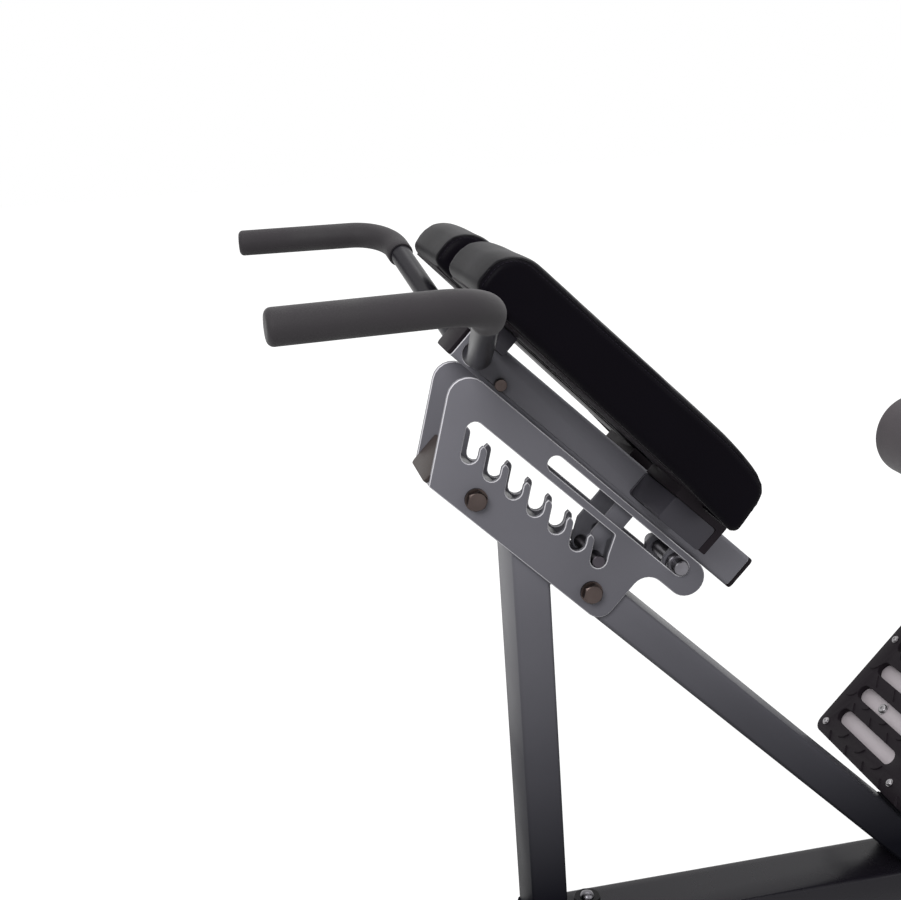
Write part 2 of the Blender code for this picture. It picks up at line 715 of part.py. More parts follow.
def build_through_bolts():
    """Two hexagon bolts through both plates and the strut, with washers and nuts."""
    head = BOLT_HEAD_HIGH
    washer = BOLT_WASHER_THICK
    face = PLATE_OUT + GAP
    for index, label in enumerate(("upper", "lower")):
        s = index * BOLT_PITCH
        near = on_slope(s, -(face + washer + head / 2), 0)
        towards_near = frame(near, SLOPE_S, SLOPE_N)
        name = f"through_bolt_{label}"
        item = hexagon_block(name, BOLT_FLATS, head, towards_near, surface=plated(name))
        far_end = face + BOLT_END_PAST
        shank = rod_mesh(name + "_shank", BOLT_RADIUS, far_end + face + washer + head / 2, 20)
        middle = on_slope(s, (far_end - face - washer - head / 2) / 2, 0)
        cut(item, add_object(name + "_shank", shank, cross_frame(middle), group=CUTTERS), "UNION")
        sunk = washer + 0.5 * MM
        disc = rod_mesh(name + "_washer", BOLT_WASHER_RADIUS, sunk, 28)
        disc_place = on_slope(s, -(face + sunk / 2), 0)
        cut(item, add_object(name + "_washer", disc, cross_frame(disc_place), group=CUTTERS), "UNION")
        nut = f"through_nut_{label}"
        place = on_slope(s, face + BOLT_NUT_HIGH / 2, 0)
        towards_far = frame(place, SLOPE_N, SLOPE_S)
        bore = BOLT_RADIUS + RUNNING_GAP
        hexagon_block(nut, BOLT_FLATS, BOLT_NUT_HIGH, towards_far, bore, surface=plated(nut))


def build_guide():
    """Guide rod in the straight slots, with a bush on each side of the lugs."""
    place = on_slope(GUIDE_S, 0, GUIDE_N)
    length = 2 * (PLATE_OUT + GUIDE_ROD_PAST)
    mesh = rod_mesh("guide_rod", GUIDE_RADIUS, length, 32, 1 * MM)
    smooth(add_object("guide_rod", mesh, cross_frame(place), plated("guide_rod")))
    inner = CARRIAGE_WIDE / 2 + GAP
    outer = TUBE_WIDE / 2 - GAP
    for side, label in ((-1, "near"), (1, "far")):
        name = f"guide_bush_{label}"
        half = (outer - inner) / 2
        profile = [
            (GUIDE_RADIUS + RUNNING_GAP, half), (BUSH_RADIUS - 1 * MM, half), (BUSH_RADIUS, half - 1 * MM),
            (BUSH_RADIUS, 1 * MM - half), (BUSH_RADIUS - 1 * MM, -half), (GUIDE_RADIUS + RUNNING_GAP, -half),
        ]
        centre = on_slope(GUIDE_S, side * (inner + outer) / 2, GUIDE_N)
        round_piece(name, profile, cross_frame(centre), plated(name), 28, ring=True)


def build_carriage_tube():
    """Carriage tube with its two caps and the bolt across its upper end."""
    n = CARRIAGE_LOW + TUBE_HIGH / 2
    wall = TUBE_WALL
    start = on_slope(CARRIAGE_UP_END + CAP_THICK, 0, n)
    end = on_slope(CARRIAGE_LOW_END - CAP_THICK, 0, n)
    name = "carriage_tube"
    body = tube(name, start, end, CARRIAGE_WIDE, TUBE_HIGH, paint(name), wall)
    hole = rod_mesh("bar_hole", BAR_RADIUS + GAP, 2 * CARRIAGE_WIDE, 32)
    place = on_slope(BAR_ROOT_S, 0, BAR_ROOT_N)
    cut(body, add_object("bar_hole", hole, cross_frame(place), group=CUTTERS))
    place = on_slope(CARRIAGE_BOLT_S, 0, CARRIAGE_BOLT_N)
    hole = rod_mesh("carriage_bolt_hole", CARRIAGE_BOLT_RADIUS + GAP, 2 * CARRIAGE_WIDE, 20)
    cut(body, add_object("carriage_bolt_hole", hole, cross_frame(place), group=CUTTERS))
    caps = (("carriage_cap_upper", start, -SLOPE_S), ("carriage_cap_lower", end, SLOPE_S))
    items = [body]
    for cap, centre, outward in caps:
        surface = black_plastic(cap)
        items.append(end_cap(cap, centre, outward, CARRIAGE_WIDE, TUBE_HIGH, wall, surface, SHORT_PLUG))
    items.append(carriage_bolt())
    return items


def carriage_bolt():
    """Domed bolt through the sides of the carriage tube near its upper end."""
    name = "carriage_bolt"
    half = CARRIAGE_WIDE / 2 + GAP
    shank = CARRIAGE_BOLT_RADIUS
    head = CARRIAGE_BOLT_HEAD
    nut = head - 0.5 * MM
    profile = [
        (0, -half - 5 * MM), (shank, -half - 4.3 * MM), (head - 0.4 * MM, -half - 2 * MM),
        (head, -half), (shank, -half), (shank, half), (nut, half), (nut, half + 5.5 * MM),
        (nut - 0.5 * MM, half + 6 * MM), (0, half + 6 * MM),
    ]
    place = on_slope(CARRIAGE_BOLT_S, 0, CARRIAGE_BOLT_N)
    return round_piece(name, [(r, -z) for r, z in profile], cross_frame(place), plated(name), 24)


def lug_outline():
    """Lug under the carriage tube with a round lower end about the guide rod."""
    top = CARRIAGE_LOW - GAP - GUIDE_N
    return rounded([
        (-LUG_RADIUS, -LUG_RADIUS, LUG_RADIUS * 0.999),
        (LUG_RADIUS, -LUG_RADIUS, LUG_RADIUS * 0.999),
        (LUG_RADIUS, top, 0),
        (-LUG_RADIUS, top, 0),
    ], 8)


def arm_outline():
    """Bent latch arm: square to the slope above, then leaning along the notches to the latch rod."""
    radius = LATCH_EYE
    down = Vector((math.sin(NOTCH_LEAN), -math.cos(NOTCH_LEAN)))
    side = Vector((math.cos(NOTCH_LEAN), math.sin(NOTCH_LEAN)))
    rod = Vector((LATCH_S, LATCH_N))
    low_left = rod + down * radius - side * radius
    low_right = rod + down * radius + side * radius
    reach = (LATCH_ARM_BEND - rod.y) / -down.y
    knee_right = rod + side * radius - down * reach * 0.8
    knee_left = rod - side * radius - down * reach * 0.35
    top = CARRIAGE_LOW - GAP
    return rounded([
        (low_left.x, low_left.y, radius * 0.98),
        (low_right.x, low_right.y, radius * 0.98),
        (knee_right.x, knee_right.y, 3 * MM),
        (LATCH_ARM_RIGHT, LATCH_ARM_BEND + 12 * MM, 3 * MM),
        (LATCH_ARM_RIGHT, top, 0),
        (LATCH_ARM_LEFT, top, 0),
        (LATCH_ARM_LEFT, LATCH_ARM_BEND - 4 * MM, 2 * MM),
        (knee_left.x, knee_left.y, 3 * MM),
    ], 5)


def build_latch():
    """Lugs on the guide rod, latch arms and the latch rod."""
    items = []
    y = CARRIAGE_WIDE / 2 - LUG_THICK / 2
    for side, label in ((-1, "near"), (1, "far")):
        name = f"guide_lug_{label}"
        outlines = [lug_outline(), circle(0, 0, GUIDE_RADIUS + RUNNING_GAP, 32)]
        matrix = side_frame(side * y, GUIDE_S, GUIDE_N)
        items.append(flat_piece(name, outlines, LUG_THICK, matrix, paint(name)))
        name = f"latch_arm_{label}"
        outlines = [arm_outline(), circle(LATCH_S, LATCH_N, LATCH_RADIUS + GAP, 24)]
        items.append(flat_piece(name, outlines, LUG_THICK, side_frame(side * y), paint(name)))
    mesh = rod_mesh("latch_rod", LATCH_RADIUS, 2 * (PLATE_OUT + 1 * MM), 32, 1 * MM)
    place = on_slope(LATCH_S, 0, LATCH_N)
    items.append(smooth(add_object("latch_rod", mesh, cross_frame(place), plated("latch_rod"))))
    return items


def build_supports():
    """Box brackets beside the tube's lower end and the saddle over its upper end."""
    items = []
    low_s, high_s = BRACKET_S
    n = BRACKET_TOP - BRACKET_HIGH / 2
    inner = CARRIAGE_WIDE / 2 + GAP
    for side, label in ((-1, "near"), (1, "far")):
        name = f"pad_bracket_{label}"
        centre = on_slope((low_s + high_s) / 2, side * (inner + BRACKET_REACH) / 2, n)
        outer = box_outline(high_s - low_s, BRACKET_HIGH, 3 * MM)
        hollow = box_outline(high_s - low_s - 5 * MM, BRACKET_HIGH - 5 * MM, 1 * MM)
        length = BRACKET_REACH - inner
        item = flat_piece(name, [outer], length, side_frame(centre.y), paint(name))
        item.matrix_world = frame(centre, SLOPE_S, SLOPE_N)
        core = frame(centre - WORLD_Y * side * 3 * MM, SLOPE_S, SLOPE_N)
        cut(item, flat_piece(name + "_hollow", [hollow], length, core, None, CUTTERS))
        items.append(item)
    items.append(build_saddle())
    return items


def build_saddle():
    """Block that straddles the tube and carries the pads' upper ends."""
    name = "pad_saddle"
    first, last = SADDLE_S
    top = pad_under(last) - BOARD_PROUD - GAP
    over = CARRIAGE_LOW + TUBE_HIGH + GAP
    side = CARRIAGE_WIDE / 2 + GAP
    outline = rounded([
        (-SADDLE_REACH, SADDLE_LOW, 3 * MM), (-side, SADDLE_LOW, 0), (-side, over, 0),
        (side, over, 0), (side, SADDLE_LOW, 0), (SADDLE_REACH, SADDLE_LOW, 3 * MM),
        (SADDLE_REACH, top, 2 * MM), (-SADDLE_REACH, top, 2 * MM),
    ])
    matrix = frame(on_slope((first + last) / 2, 0, 0), WORLD_Y, SLOPE_N)
    return flat_piece(name, [outline], last - first, matrix, paint(name))


def pad_under(s):
    """Height of the pads' underside at a place along the slope."""
    share = (s - PAD_UP_END) / (PAD_LOW_END - PAD_UP_END)
    return PAD_UNDER[0] + (PAD_UNDER[1] - PAD_UNDER[0]) * share


def build_boards():
    """Boards let into the pads' undersides; a rest on each turns down behind its bracket."""
    items = []
    up = PAD_UP_END + BOARD_INSET
    low = PAD_LOW_END - BOARD_INSET
    tip = BRACKET_S[1] + GAP + REST_THICK
    rest = rounded([
        (REST_START, BRACKET_TOP + GAP, 0),
        (tip - REST_THICK, BRACKET_TOP + GAP, 1 * MM),
        (tip - REST_THICK, REST_TIP, 1.5 * MM),
        (tip, REST_TIP, 1.5 * MM),
        (tip, pad_under(tip) - GAP, 3 * MM),
        (REST_START, pad_under(REST_START) - GAP, 0),
    ])
    for side, label in ((-1, "near"), (1, "far")):
        name = f"pad_board_{label}"
        middle = side * (PAD_OUTER + PAD_INNER) / 2
        panel = [
            (up, pad_under(up) - BOARD_PROUD), (low, pad_under(low) - BOARD_PROUD),
            (low, pad_under(low) + BOARD_THICK), (up, pad_under(up) + BOARD_THICK),
        ]
        wide = PAD_OUTER - PAD_INNER - 2 * BOARD_INSET
        item = flat_piece(name, [panel], wide, side_frame(middle), black_plastic(name))
        rest_middle = side * (REST_INNER + REST_OUTER) / 2
        wide = REST_OUTER - REST_INNER
        cut(item, flat_piece(name + "_rest", [rest], wide, side_frame(rest_middle), None, CUTTERS), "UNION")
        items.append(item)
    return items


def pad_outline():
    """Side view of a pad: bullnose upper end, straight top that falls away at the lower end."""
    up = PAD_UP_END + 3 * MM
    return rounded([
        (up, pad_under(up), 9 * MM),
        (PAD_LOW_END, PAD_UNDER[1], 6 * MM),
        (PAD_TOP_END[0] + 3 * MM, PAD_TOP_END[1], 14 * MM),
        (PAD_TOP_BREAK[0], PAD_TOP_BREAK[1], 60 * MM),
        (PAD_UP_END - 1 * MM, PAD_TOP_START, 31 * MM),
    ], 6)


def pad_mesh(name):
    """A pad: its side view given width, rounded long edges and a crowned top."""
    curve = bpy.data.curves.new(name, "CURVE")
    curve.dimensions = "2D"
    curve.fill_mode = "BOTH"
    wide = PAD_OUTER - PAD_INNER
    curve.bevel_depth = PAD_EDGE
    curve.bevel_resolution = 3
    curve.extrude = wide / 2 - PAD_EDGE
    curve.offset = -PAD_EDGE
    spline = curve.splines.new("POLY")
    outline = pad_outline()
    spline.points.add(len(outline) - 1)
    for point, place in zip(spline.points, outline):
        point.co = (place[0], place[1], 0, 1)
    spline.use_cyclic_u = True
    mesh = mesh_from_curve(name, curve)
    work = bmesh.new()
    work.from_mesh(mesh)
    for share in (-0.5, 0, 0.5):
        geometry = work.verts[:] + work.edges[:] + work.faces[:]
        place = (0, 0, share * wide / 2)
        bmesh.ops.bisect_plane(work, geom=geometry, dist=0.001 * MM, plane_co=place, plane_no=(0, 0, 1))
    middle = (PAD_TOP_START + PAD_UNDER[0]) / 2
    for vert in work.verts:
        if vert.co.y > middle:
            across = vert.co.z / (wide / 2)
            vert.co.y += PAD_CROWN * (1 - across ** 2)
    bmesh.ops.recalc_face_normals(work, faces=work.faces)
    work.to_mesh(mesh)
    work.free()
    return mesh


def build_pads():
    """The two thigh pads, each with a recess for its board."""
    items = []
    length = PAD_LOW_END - PAD_UP_END - 2 * BOARD_INSET + 4 * GAP
    deep = 2 * (BOARD_THICK + 2 * GAP)
    wide = PAD_OUTER - PAD_INNER - 2 * BOARD_INSET + 2 * GAP
    middle_s = (PAD_LOW_END + PAD_UP_END) / 2
    ahead = on_slope(PAD_LOW_END, 0, PAD_UNDER[1]) - on_slope(PAD_UP_END, 0, PAD_UNDER[0])
    ahead.normalize()
    for side, label in ((-1, "near"), (1, "far")):
        name = f"thigh_pad_{label}"
        middle = side * (PAD_OUTER + PAD_INNER) / 2
        surface = material(name, VINYL, 0.0, 0.45)
        item = smooth(add_object(name, pad_mesh(name), side_frame(middle), surface), math.radians(50))
        place = frame(on_slope(middle_s, middle, pad_under(middle_s)), ahead, WORLD_Y)
        cut(item, cutter_box(name + "_recess", place, (length, wide, deep)))
        items.append(item)
    return items


def bent_path(points, radius, steps=4):
    """Points of a path through corners that are turned with arcs."""
    path = [points[0]]
    for before, corner, after in zip(points, points[1:], points[2:]):
        back = (before - corner).normalized()
        ahead = (after - corner).normalized()
        half = back.angle(ahead) / 2
        middle = corner + (back + ahead).normalized() * (radius / math.sin(half))
        first = corner + back * (radius / math.tan(half))
        last = corner + ahead * (radius / math.tan(half))
        for step in range(steps + 1):
            share = step / steps
            sweep = (math.pi - 2 * half) * share
            from_middle = first - middle
            square = (last - middle) - from_middle * math.cos(math.pi - 2 * half)
            square = square.normalized() * radius
            path.append(middle + from_middle * math.cos(sweep) + square * math.sin(sweep))
    path.append(points[-1])
    return path


def handle_path():
    """Half of the handle's path: grip tip, bend and the straight part towards the carriage."""
    root = on_slope(BAR_ROOT_S, -BAR_ROOT_Y, BAR_ROOT_N)
    x, y, z = GRIP_TIP
    tip = from_bolt(x, -y, z)
    x, y, z = BAR_CORNER
    corner = from_bolt(x, -y, z)
    return tip, corner, root


def swept_mesh(name, path, radii, resolution):
    """A round bar along a path, with closed ends and a radius for each point."""
    curve = bpy.data.curves.new(name, "CURVE")
    curve.dimensions = "3D"
    curve.bevel_depth = 1
    curve.bevel_resolution = resolution
    curve.use_fill_caps = True
    spline = curve.splines.new("POLY")
    spline.points.add(len(path) - 1)
    for point, place, radius in zip(spline.points, path, radii):
        point.co = (*place, 1)
        point.radius = radius
    return mesh_from_curve(name, curve)


def build_handlebar():
    """One bent bar through the carriage tube with a rubber grip on each end."""
    tip, corner, root = handle_path()
    start = tip + (corner - tip).normalized() * (GRIP_WALL + GAP)
    half = [start, corner, root]
    mirrored = [Vector((p.x, -p.y, p.z)) for p in reversed(half)]
    path = bent_path(half + mirrored, BAR_BEND)
    mesh = swept_mesh("handlebar", path, [BAR_RADIUS] * len(path), 4)
    bar = smooth(add_object("handlebar", mesh, Matrix(), black_paint("handlebar")))
    inner = bent_path(half + mirrored, BAR_BEND)
    inner[0] -= (corner - tip).normalized() * GAP
    inner[-1] = Vector((inner[0].x, -inner[0].y, inner[0].z))
    bore = swept_mesh("bar_bore", inner, [BAR_RADIUS - BAR_WALL] * len(inner), 4)
    cut(bar, add_object("bar_bore", bore, Matrix(), group=CUTTERS))
    return [bar] + build_grips()


def grip_profile(path):
    """Radii along a grip: a domed tip, then the full sleeve."""
    domed = [0.55, 0.8, 0.95]
    return [GRIP_RADIUS * share for share in domed] + [GRIP_RADIUS] * (len(path) - len(domed))


def build_grips():
    """Rubber sleeves over the ends of the bar and round its bends, closed at the tips."""
    items = []
    tip, corner, root = handle_path()
    along = (corner - tip).normalized()
    bend = bent_path([tip, corner, root], BAR_BEND)
    past = (root - corner).normalized() * GRIP_PAST_BEND
    bend[-1] = bend[-2] + past
    domes = [tip + along * step for step in (1.5 * MM, GRIP_CROWN * 0.55, GRIP_CROWN)]
    sleeve = [tip] + domes + bend[1:]
    start = tip + along * GRIP_WALL
    bore_path = [start] + bend[1:-1] + [bend[-1] + past * 0.1]
    for side, label in ((-1, "near"), (1, "far")):
        name = f"hand_grip_{label}"
        outer = [Vector((p.x, -side * p.y, p.z)) for p in sleeve]
        mesh = swept_mesh(name, outer, grip_profile(outer), 6)
        item = smooth(add_object(name, mesh, Matrix(), material(name, RUBBER, 0.0, 0.7)))
        inner = [Vector((p.x, -side * p.y, p.z)) for p in bore_path]
        bore = swept_mesh(name + "_bore", inner, [BAR_RADIUS + GAP] * len(inner), 6)
        cut(item, add_object(name + "_bore", bore, Matrix(), group=CUTTERS))
        items.append(item)
    return items


def tread_outlines():
    """Black tread with rounded corners and two columns of slots; local X is across, Y is up the plate."""
    wide = TREAD_HALF_WIDE
    outlines = [rounded([
        (-wide, TREAD_LOW, TREAD_CORNER), (wide, TREAD_LOW, TREAD_CORNER),
        (wide, TREAD_HIGH, TREAD_CORNER), (-wide, TREAD_HIGH, TREAD_CORNER),
    ])]
    outer = TREAD_SLOT_OUTER - TREAD_SLOT_RADIUS
    inner = TREAD_SLOT_INNER + TREAD_SLOT_RADIUS
    for row in range(TREAD_SLOTS):
        n = TREAD_SLOT_FIRST + row * TREAD_SLOT_PITCH
        outlines.append(slot(inner, outer, n, TREAD_SLOT_RADIUS, 5))
        outlines.append(slot(-outer, -inner, n, TREAD_SLOT_RADIUS, 5))
    return outlines


def build_foot_plate():
    """Foot plate: slotted black tread on a steel plate, held by two bars on the post."""
    across = WORLD_Y
    tread = frame(on_slope(TREAD_S + TREAD_THICK / 2, 0, 0), across, SLOPE_N)
    name = "foot_tread"
    flat_piece(name, tread_outlines(), TREAD_THICK, tread, black_plastic(name))
    name = "foot_plate"
    steel_s = TREAD_S + TREAD_THICK + GAP + STEEL_THICK / 2
    wide = TREAD_HALF_WIDE - TREAD_MARGIN
    low = TREAD_LOW + TREAD_MARGIN
    high = TREAD_HIGH - TREAD_MARGIN
    outline = rounded([
        (-wide, low, TREAD_CORNER), (wide, low, TREAD_CORNER),
        (wide, high, TREAD_CORNER), (-wide, high, TREAD_CORNER),
    ])
    steel = frame(on_slope(steel_s, 0, 0), across, SLOPE_N)
    flat_piece(name, [outline], STEEL_THICK, steel, material(name, PLATE_GREY, 0.6, 0.45))
    brace_s = steel_s + STEEL_THICK / 2 + GAP + BRACE_THICK / 2
    rows = (("lower", 1), ("upper", TREAD_SLOTS - 2))
    for label, row in rows:
        name = f"foot_brace_{label}"
        n = TREAD_SLOT_FIRST + row * TREAD_SLOT_PITCH
        outline = rounded([
            (-BRACE_REACH, n - BRACE_HIGH / 2, 4 * MM), (BRACE_REACH, n - BRACE_HIGH / 2, 4 * MM),
            (BRACE_REACH, n + BRACE_HIGH / 2, 4 * MM), (-BRACE_REACH, n + BRACE_HIGH / 2, 4 * MM),
        ], 3)
        matrix = frame(on_slope(brace_s, 0, 0), across, SLOPE_N)
        flat_piece(name, [outline], BRACE_THICK, matrix, paint(name))
    return brace_s + BRACE_THICK / 2 + GAP


def build_post(post_face):
    """Post behind the foot plate, the arm on its head and the roller bar with its stops."""
    post_s = post_face + TUBE_HIGH / 2
    low = on_slope(post_s, 0, TUBE_HIGH / 2 + GAP)
    high = on_slope(post_s, 0, POST_HIGH)
    tube("roller_post", low, high, CARRIAGE_WIDE, TUBE_HIGH, paint("roller_post"))
    end_cap("post_cap", high, SLOPE_N, CARRIAGE_WIDE, TUBE_HIGH, TUBE_WALL, black_plastic("post_cap"))
    start = on_slope(ROLLER_S - ARM_SIZE / 2, 0, ROLLER_N)
    end = on_slope(post_face - GAP, 0, ROLLER_N)
    arm = tube("roller_arm", start, end, ARM_SIZE, ARM_SIZE, paint("roller_arm"))
    place = on_slope(ROLLER_S, 0, ROLLER_N)
    hole = rod_mesh("arm_hole", BAR_RADIUS + GAP, 2 * ARM_SIZE, 32)
    cut(arm, add_object("arm_hole", hole, cross_frame(place), group=CUTTERS))
    end_cap("arm_cap", start, -SLOPE_S, ARM_SIZE, ARM_SIZE, TUBE_WALL, black_plastic("arm_cap"), SHORT_PLUG)
    half = ROLLER_OUTER + GAP + STOP_THICK
    mesh = rod_mesh("roller_bar", BAR_RADIUS, 2 * half, 32, 0.8 * MM)
    smooth(add_object("roller_bar", mesh, cross_frame(place), plated("roller_bar")))
    for side, label in ((-1, "near"), (1, "far")):
        name = f"roller_stop_{label}"
        bore = BAR_RADIUS + RUNNING_GAP
        thick = STOP_THICK / 2
        profile = [
            (bore, thick), (STOP_RADIUS - 1 * MM, thick), (STOP_RADIUS, thick - 1 * MM),
            (STOP_RADIUS, 1 * MM - thick), (STOP_RADIUS - 1 * MM, -thick), (bore, -thick),
        ]
        centre = on_slope(ROLLER_S, side * (half - thick), ROLLER_N)
        round_piece(name, profile, cross_frame(centre), plated(name), ring=True)


def build_rollers():
    """Padded ankle rollers that turn on the bar."""
    half = (ROLLER_OUTER - ROLLER_INNER) / 2
    rim = ROLLER_RIM
    radius = ROLLER_RADIUS
    profile = [(ROLLER_BORE, half - 2 * MM), (ROLLER_BORE + 8 * MM, half)]
    for step in range(ROLLER_RIM_STEPS + 1):
        turn = math.pi / 2 * (1 - step / ROLLER_RIM_STEPS)
        profile.append((radius - rim + rim * math.cos(turn), half - rim + rim * math.sin(turn)))
    profile += [(r, -z) for r, z in reversed(profile)]
    for side, label in ((-1, "near"), (1, "far")):
        name = f"ankle_roller_{label}"
        centre = on_slope(ROLLER_S, side * (ROLLER_OUTER + ROLLER_INNER) / 2, ROLLER_N)
        surface = material(name, ROLLER_BROWN, 0.0, 0.55)
        round_piece(name, profile, cross_frame(centre), surface, 36, ring=True)


def main():
    """Build every piece and hang the moving ones on their axes."""
    build_base()
    beam_bolts()
    build_leg()
    build_strut()
    build_plates()
    build_through_bolts()
    build_guide()
    carriage = build_carriage_tube() + build_latch() + build_supports()
    carriage += build_boards() + build_pads() + build_handlebar()
    pivot = pivot_at("carriage_axis", on_slope(GUIDE_S, 0, GUIDE_N))
    parent_to(pivot, carriage)
    post_face = build_foot_plate()
    build_post(post_face)
    build_rollers()
    bpy.context.view_layer.update()


main()
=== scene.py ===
"""Hyperextension bench: finishes, cushions, grips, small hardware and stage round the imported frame."""

import json
import math

import bmesh
import bpy
import numpy as np
from bpy.props import FloatProperty, FloatVectorProperty, PointerProperty
from mathutils import Matrix, Vector
from mathutils import noise as random_field
from mathutils.bvhtree import BVHTree
from mathutils.kdtree import KDTree


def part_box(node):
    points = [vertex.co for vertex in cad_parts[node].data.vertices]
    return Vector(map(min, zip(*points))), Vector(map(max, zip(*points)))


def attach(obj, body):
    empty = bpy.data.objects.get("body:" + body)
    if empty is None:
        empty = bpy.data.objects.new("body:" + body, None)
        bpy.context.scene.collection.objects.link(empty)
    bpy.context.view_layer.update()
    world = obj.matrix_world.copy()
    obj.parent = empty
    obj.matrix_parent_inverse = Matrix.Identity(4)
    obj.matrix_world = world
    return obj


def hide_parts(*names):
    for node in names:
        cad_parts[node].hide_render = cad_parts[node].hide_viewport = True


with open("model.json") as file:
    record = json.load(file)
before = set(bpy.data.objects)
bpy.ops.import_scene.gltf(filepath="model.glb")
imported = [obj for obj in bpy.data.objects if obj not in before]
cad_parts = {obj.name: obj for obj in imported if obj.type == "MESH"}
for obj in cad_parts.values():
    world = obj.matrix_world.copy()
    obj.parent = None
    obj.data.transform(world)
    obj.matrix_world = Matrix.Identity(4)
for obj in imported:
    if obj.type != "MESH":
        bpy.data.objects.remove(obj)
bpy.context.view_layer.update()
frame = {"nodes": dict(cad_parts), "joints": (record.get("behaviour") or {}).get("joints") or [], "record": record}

bl_info = {
    "name": "Hyperextension bench finish",
    "version": (1, 0, 0),
    "blender": (4, 5, 0),
    "location": "3D View > Sidebar > Bench",
    "description": "Finishes, cushions, grips and small hardware of a hyperextension bench",
    "category": "Object",
}

MM = 0.001
SIDES = ((-1, "near"), (1, "far"))

# Directions of the bench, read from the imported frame.
ACROSS = Vector((0, 1, 0))
LEVEL = Vector((1, 0, 0))
DOWN_SLOPE = -Vector(frame["joints"][0]["axis"]).normalized()
OFF_SLOPE = DOWN_SLOPE.cross(ACROSS)

# Places that the CAD boxes don't give. Slope places are (s, y, n) from the upper through bolt.
UNDER_RISE = 11 * MM
PAD_LEAN = 3 * MM
PAD_CROWN = 3 * MM
PAD_BREAK_S = 303 * MM
PAD_BREAK_DROP = 6.4 * MM
PAD_TIP_BACK = 5.5 * MM
PAD_TIP_DROP = 16.5 * MM
PAD_SAG = 4 * MM
PAD_SAG_RUN = 80 * MM
BOARD_INSET = 15 * MM
BOARD_THICK = 8 * MM
GRIP_TIP = Vector((-203 * MM, -320 * MM, 242 * MM))
GRIP_CORNER = Vector((-25 * MM, -304 * MM, 241 * MM))
GRIP_ROOT = (-95 * MM, -52 * MM, 112 * MM)
GRIP_BEND = 55 * MM
GRIP_PAST_BEND = 18 * MM
GRIP_RADIUS = 15.25 * MM
GRIP_WALL = 8 * MM
GRIP_RIM = 5.5 * MM
BAR_RADIUS = 12.5 * MM
ROLLER_FULLER = 1.5 * MM

# Painted shade towards the floor: the powder coat's colour and gloss are darkest this far over the base beam, and
# palest this far over the upper bolt.
PAINTED_SHADE_DARKEST_OVER_BEAM = 40 * MM
PAINTED_SHADE_ENDS_OVER_BOLT = 110 * MM


def middle_of(node):
    """Middle of a CAD node's box."""
    low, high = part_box(node)
    return (low + high) / 2


BOLT = middle_of("through_bolt_upper")
BOLT.y = 0


def on_slope(s, y, n):
    """World place of a point: s down the slope, y across, n square to the slope."""
    return BOLT + DOWN_SLOPE * s + OFF_SLOPE * n + ACROSS * y


def to_slope(place):
    """Slope coordinates (s, y, n) of a world place."""
    local = place - BOLT
    return Vector((local.dot(DOWN_SLOPE), place.y, local.dot(OFF_SLOPE)))


def slope_box(node, above=None):
    """Lowest and highest slope coordinates of a CAD node, or of its part above a height n."""
    mesh = frame["nodes"][node].data
    places = np.empty(3 * len(mesh.vertices))
    mesh.vertices.foreach_get("co", places)
    places = (places.reshape(-1, 3) - np.array(BOLT)) @ np.array((DOWN_SLOPE, ACROSS, OFF_SLOPE)).T
    if above is not None:
        places = places[places[:, 2] > above]
    return Vector(places.min(axis=0)), Vector(places.max(axis=0))


def middle_slope(node):
    """Middle of a CAD node in slope coordinates."""
    low, high = slope_box(node)
    return (low + high) / 2


def axes(origin, x_axis, y_axis):
    """Matrix whose local X and Y run along two given directions."""
    z_axis = x_axis.cross(y_axis)
    turn = Matrix((x_axis, y_axis, z_axis)).transposed().to_4x4()
    return Matrix.Translation(origin) @ turn


def colour_setting(name, description, default):
    """A colour that the user can change."""
    return FloatVectorProperty(
        name=name, description=description, subtype="COLOR", size=3, min=0, max=1, default=default,
    )


def length_setting(name, description, default, least=0):
    """A length that the user can change."""
    return FloatProperty(name=name, description=description, unit="LENGTH", min=least, default=default)


def power_setting(name, description, default):
    """A lamp's power that the user can change."""
    return FloatProperty(name=name, description=description, unit="POWER", min=0, default=default)


class BENCH_PG_paint(bpy.types.PropertyGroup):
    """Colours of the frame's finishes, and its edge rounding."""

    graphite: colour_setting("Graphite", "Powder coat of the plates and upper frame", (0.205, 0.202, 0.228))
    # Painted shade: the tone that the graphite powder coat is blended down to near the floor.
    graphite_painted_shade: colour_setting(
        "Graphite near the floor", "Tone the powder coat deepens to near the floor", (0.006, 0.006, 0.009),
    )
    bracket: colour_setting(
        "Brackets", "Darker powder coat of the pads' brackets and saddle", (0.036, 0.034, 0.042),
    )
    base: colour_setting(
        "Base", "Powder coat of the base beam, cross feet and handlebar", (0.0095, 0.0085, 0.0120),
    )
    bolts: colour_setting("Bolts", "Dulled plating of bolts and nuts", (0.078, 0.061, 0.057))
    rods: colour_setting("Rods", "Satin steel of the guide rod, roller bar and stops", (0.170, 0.165, 0.180))
    latch: colour_setting("Latch rod", "Oiled steel of the latch rod", (0.068, 0.061, 0.071))
    # Painted highlight: a light tone laid on the powder coat's bevelled edges.
    worn_edge: colour_setting(
        "Worn edges", "Lighter tone of the powder coat on its bevelled edges", (0.75, 0.74, 0.78),
    )
    steel: colour_setting("Foot plate steel", "Pale steel under the tread", (0.50, 0.455, 0.48))
    edge: length_setting("Edge rounding", "Width of the eased edges of sheet and tube parts", 0.9 * MM)


class BENCH_PG_cushions(bpy.types.PropertyGroup):
    """Sizes and colours of the thigh pads and ankle rollers."""

    vinyl: colour_setting("Pad vinyl", "Colour of the thigh pads' covers", (0.0022, 0.0017, 0.0030))
    roller: colour_setting("Roller skin", "Colour of the ankle rollers", (0.052, 0.045, 0.050))
    seam_inset: length_setting("Seam inset", "Distance of the cover's seam from the pad's outline", 3 * MM)
    seam_wide: length_setting("Seam width", "Width of the raised welt between the cover's panels", 1.1 * MM)
    stitch: length_setting("Stitch length", "Length of one stitch", 2.8 * MM, 1 * MM)
    swell: length_setting("Swell", "Most that the foam pushes the cover outwards", 4 * MM)


